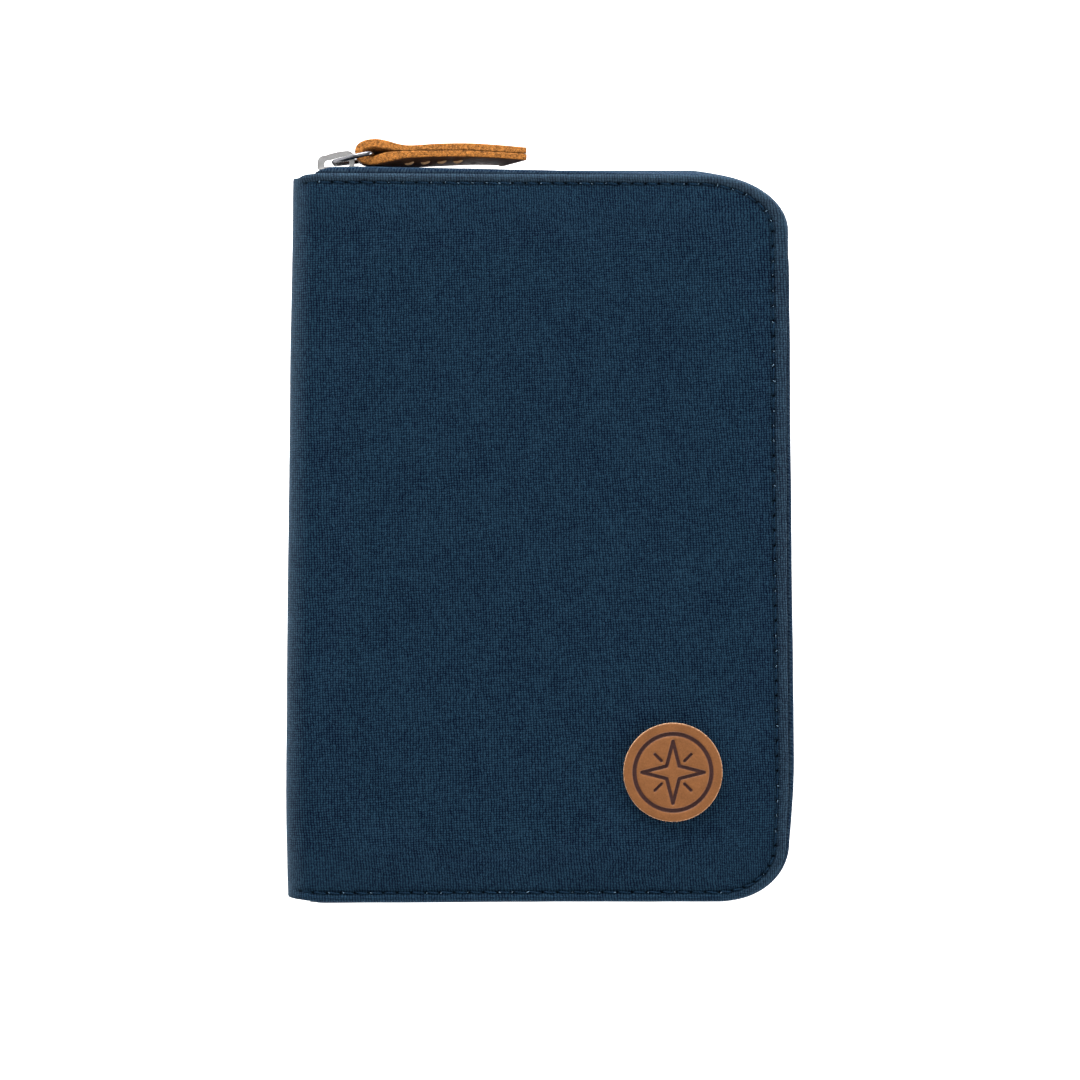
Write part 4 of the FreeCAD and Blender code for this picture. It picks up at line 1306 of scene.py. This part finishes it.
def leather_pull():
    """The folded strip, swept along its outline: raw where it was cut, smooth on its outer face."""
    line, inward, layer = pull_strip()
    across = 30
    corner = 0.16
    # section: v across the width, 0 near to 1 far; w through the thickness, 0 outer to 1 inner
    section = []
    for v in np.linspace(0, 1, across):
        section.append((v, 0.0))
    for w in (0.18, 0.4, 0.6, 0.82):
        section.append((1.0, w))
    for v in np.linspace(1, 0, across):
        section.append((v, 1.0))
    for w in (0.82, 0.6, 0.4, 0.18):
        section.append((0.0, w))
    v, w = np.array(section).T
    width = PULL_NEAR_Z - PULL_FAR_Z
    squeeze = corner * (np.exp(-v * width / corner) + np.exp(-(1 - v) * width / corner))
    side_w = np.where((v > 0.001) & (v < 0.999), w + (0.5 - w) * squeeze * 1.6, w)
    cut_sections = ((v < 0.001) | (v > 0.999)) & (w > 0.01) & (w < 0.99)
    thick = np.array([layer(depth) for depth in v * width]).T
    points, cut, painted_shade = [], [], []
    for i in range(len(line)):
        x, y, drop = line[i]
        z = PULL_NEAR_Z - v * width
        px = np.full(len(v), x) + inward[i, 0] * thick[i] * side_w
        py = y + inward[i, 1] * thick[i] * side_w - drop * v
        tail = smooth((px + 9.0) / 7.0)
        px = np.minimum(px, PULL_END_X) - PULL_SLANT * v * tail
        rough = 0.07 * waves(px + z, py + w * 3, 0.55, 9.0) * cut_sections
        z = z + rough * np.where(v < 0.5, 1, -1)
        points.append(np.column_stack([px, py, z]))
        flesh = np.maximum(cut_sections * 1.0, w > 0.97)
        cut.append(np.maximum(flesh, np.exp(-np.minimum(v, 1 - v) * width / 0.12)))
        # painted shade: the inner face darkens deeper into the hole, and a ragged dark line runs along the
        # gap between the layers
        ragged = np.clip(0.4 + 1.1 * waves(px, z, 0.9, 3.0), 0, 1)
        seam = (w > 0.7) * (0.25 + 0.6 * (w > 0.9)) * ragged
        painted_shade.append(np.maximum((w > 0.97) * smooth(v * width / 2.0) * 0.85, seam * smooth((x + 32.5) / 3)))
    faces = tube_faces(len(line), len(section))
    for end in (0, -1):
        cut[end] = np.ones(len(section))
        painted_shade[end] = np.zeros(len(section))
    made = add_mesh("leather_pull", np.concatenate(points), faces, TAB_LEATHER,
                    masks={"cut": np.concatenate(cut), "painted_shade": np.concatenate(painted_shade)})
    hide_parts("leather_tab")
    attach(made, "pull_tab")


def pull_stitches():
    """Thick tan stitches through both layers, seen on both faces."""
    strands = Strands()
    line = pull_strip()[0]
    half = len(line) // 2
    for part, sign in ((slice(0, half), 1), (slice(half, None), -1)):
        face = line[part][np.argsort(line[part, 0])].T
        for k in range(PULL_STITCHES):
            x0 = PULL_STITCH_X + PULL_STITCH_PITCH * k
            ends = []
            for x, v in ((x0, 0.58), (x0 + PULL_STITCH_L, 0.42)):
                y = np.interp(x, face[0], face[1]) - np.interp(x, face[0], face[2]) * v
                ends.append((x, y, PULL_NEAR_Z - v * (PULL_NEAR_Z - PULL_FAR_Z)))
            tilt = np.array([0, 0.98 * sign, -0.2 * sign])
            stitch(strands, ends[0], ends[1], tilt, radius=0.30, lift=0.24, sink=0.3)
    made = strands.build("pull_stitching", TAN_THREAD)
    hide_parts("tab_stitches")
    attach(made, "pull_tab")


# ---- CAD nodes that stay ---------------------------------------------------------------------------------
def dress(node, material, bevel):
    """Gives a CAD node its material and softly broken edges."""
    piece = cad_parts[node]
    piece.data.materials.clear()
    piece.data.materials.append(material)
    weld = piece.modifiers.new("weld", "WELD")
    weld.merge_threshold = 0.00001
    if bevel:
        edges = piece.modifiers.new("edges", "BEVEL")
        edges.width = bevel * MM
        edges.segments = 3
        edges.limit_method = "ANGLE"
        edges.angle_limit = math.radians(35)
        edges.harden_normals = True


# ---- Scene -----------------------------------------------------------------------------------------------
FLOOR_Z = -1.1          # the opened spine sags a little below the back cover


def stage():
    """A pale floor, lit a little from itself, so that it stays plain."""
    bpy.ops.mesh.primitive_plane_add(size=6.0, location=(0, 0, FLOOR_Z * MM))
    floor = bpy.context.object
    floor.name = "floor"
    g = Graph("floor")
    g.finish(Base_Color=rgb(0.93, 0.93, 0.93), Roughness=0.9, Specular_IOR_Level=0.1,
             Emission_Color=rgb(1, 1, 1), Emission_Strength=0.8)
    floor.data.materials.append(g.material)


def area_light(name, place, size, power):
    """A rectangular light aimed at the holder."""
    light = bpy.data.lights.new(name, "AREA")
    light.shape = "RECTANGLE"
    light.size, light.size_y = size
    light.energy = power
    made = bpy.data.objects.new(name, light)
    made.location = place
    made.rotation_euler = (-Vector(place)).to_track_quat("-Z", "Y").to_euler()
    bpy.context.scene.collection.objects.link(made)


def lights():
    area_light("overhead", (-0.15, 0.42, 1.2), (1.1, 1.1), 7.0)
    area_light("from_top", (-0.2, 0.76, 0.20), (0.9, 0.34), 21.0)
    area_light("from_left", (-1.0, 0.1, 0.22), (0.9, 0.3), 2.5)
    area_light("from_right", (1.0, -0.1, 0.22), (0.9, 0.3), 13.0)
    area_light("from_below", (0.1, -1.0, 0.20), (0.9, 0.3), 15.0)
    world = bpy.data.worlds.new("studio")
    bpy.context.scene.world = world
    world.use_nodes = True
    sky = world.node_tree.nodes["Background"]
    sky.inputs["Color"].default_value = (0.95, 0.97, 1.0, 1)
    sky.inputs["Strength"].default_value = 0.5
    bpy.context.scene.view_settings.view_transform = "Standard"


def camera():
    """Looks straight down on the front cover, from slightly towards the zip slider's edge."""
    distance = 1.35
    frame_width = 0.2118
    tilt = math.radians(2.75)
    target = Vector((0.0001, -0.0006, THICK * MM))
    data = bpy.data.cameras.new("camera")
    data.sensor_width = 36.0
    data.lens = data.sensor_width * distance / frame_width
    made = bpy.data.objects.new("camera", data)
    made.location = target + Vector((0, math.sin(tilt), math.cos(tilt))) * distance
    made.rotation_euler = (-tilt, 0, 0)
    data.clip_start, data.clip_end = 0.05, 20.0
    bpy.context.scene.collection.objects.link(made)
    bpy.context.scene.camera = made


camera()
lights()
stage()
for cover in ("back", "front"):
    foam(cover)
    canvas(cover)
    lining(cover)
    seam(cover)
    zip_tape(cover)
    zip_coil(cover)
passport_and_ticket()
notes_and_cards()
patch()
leather_pull()
pull_stitches()
dress("slider_body", CAST, 0.14)
dress("slider_crown", CAST, 0.22)
dress("pull_ring", WIRE, 0)
zip_stop("zip_top_stop", -43.4, 1, -0.75)
zip_stop("zip_bottom_stop", -37.2, -1, 0.0)
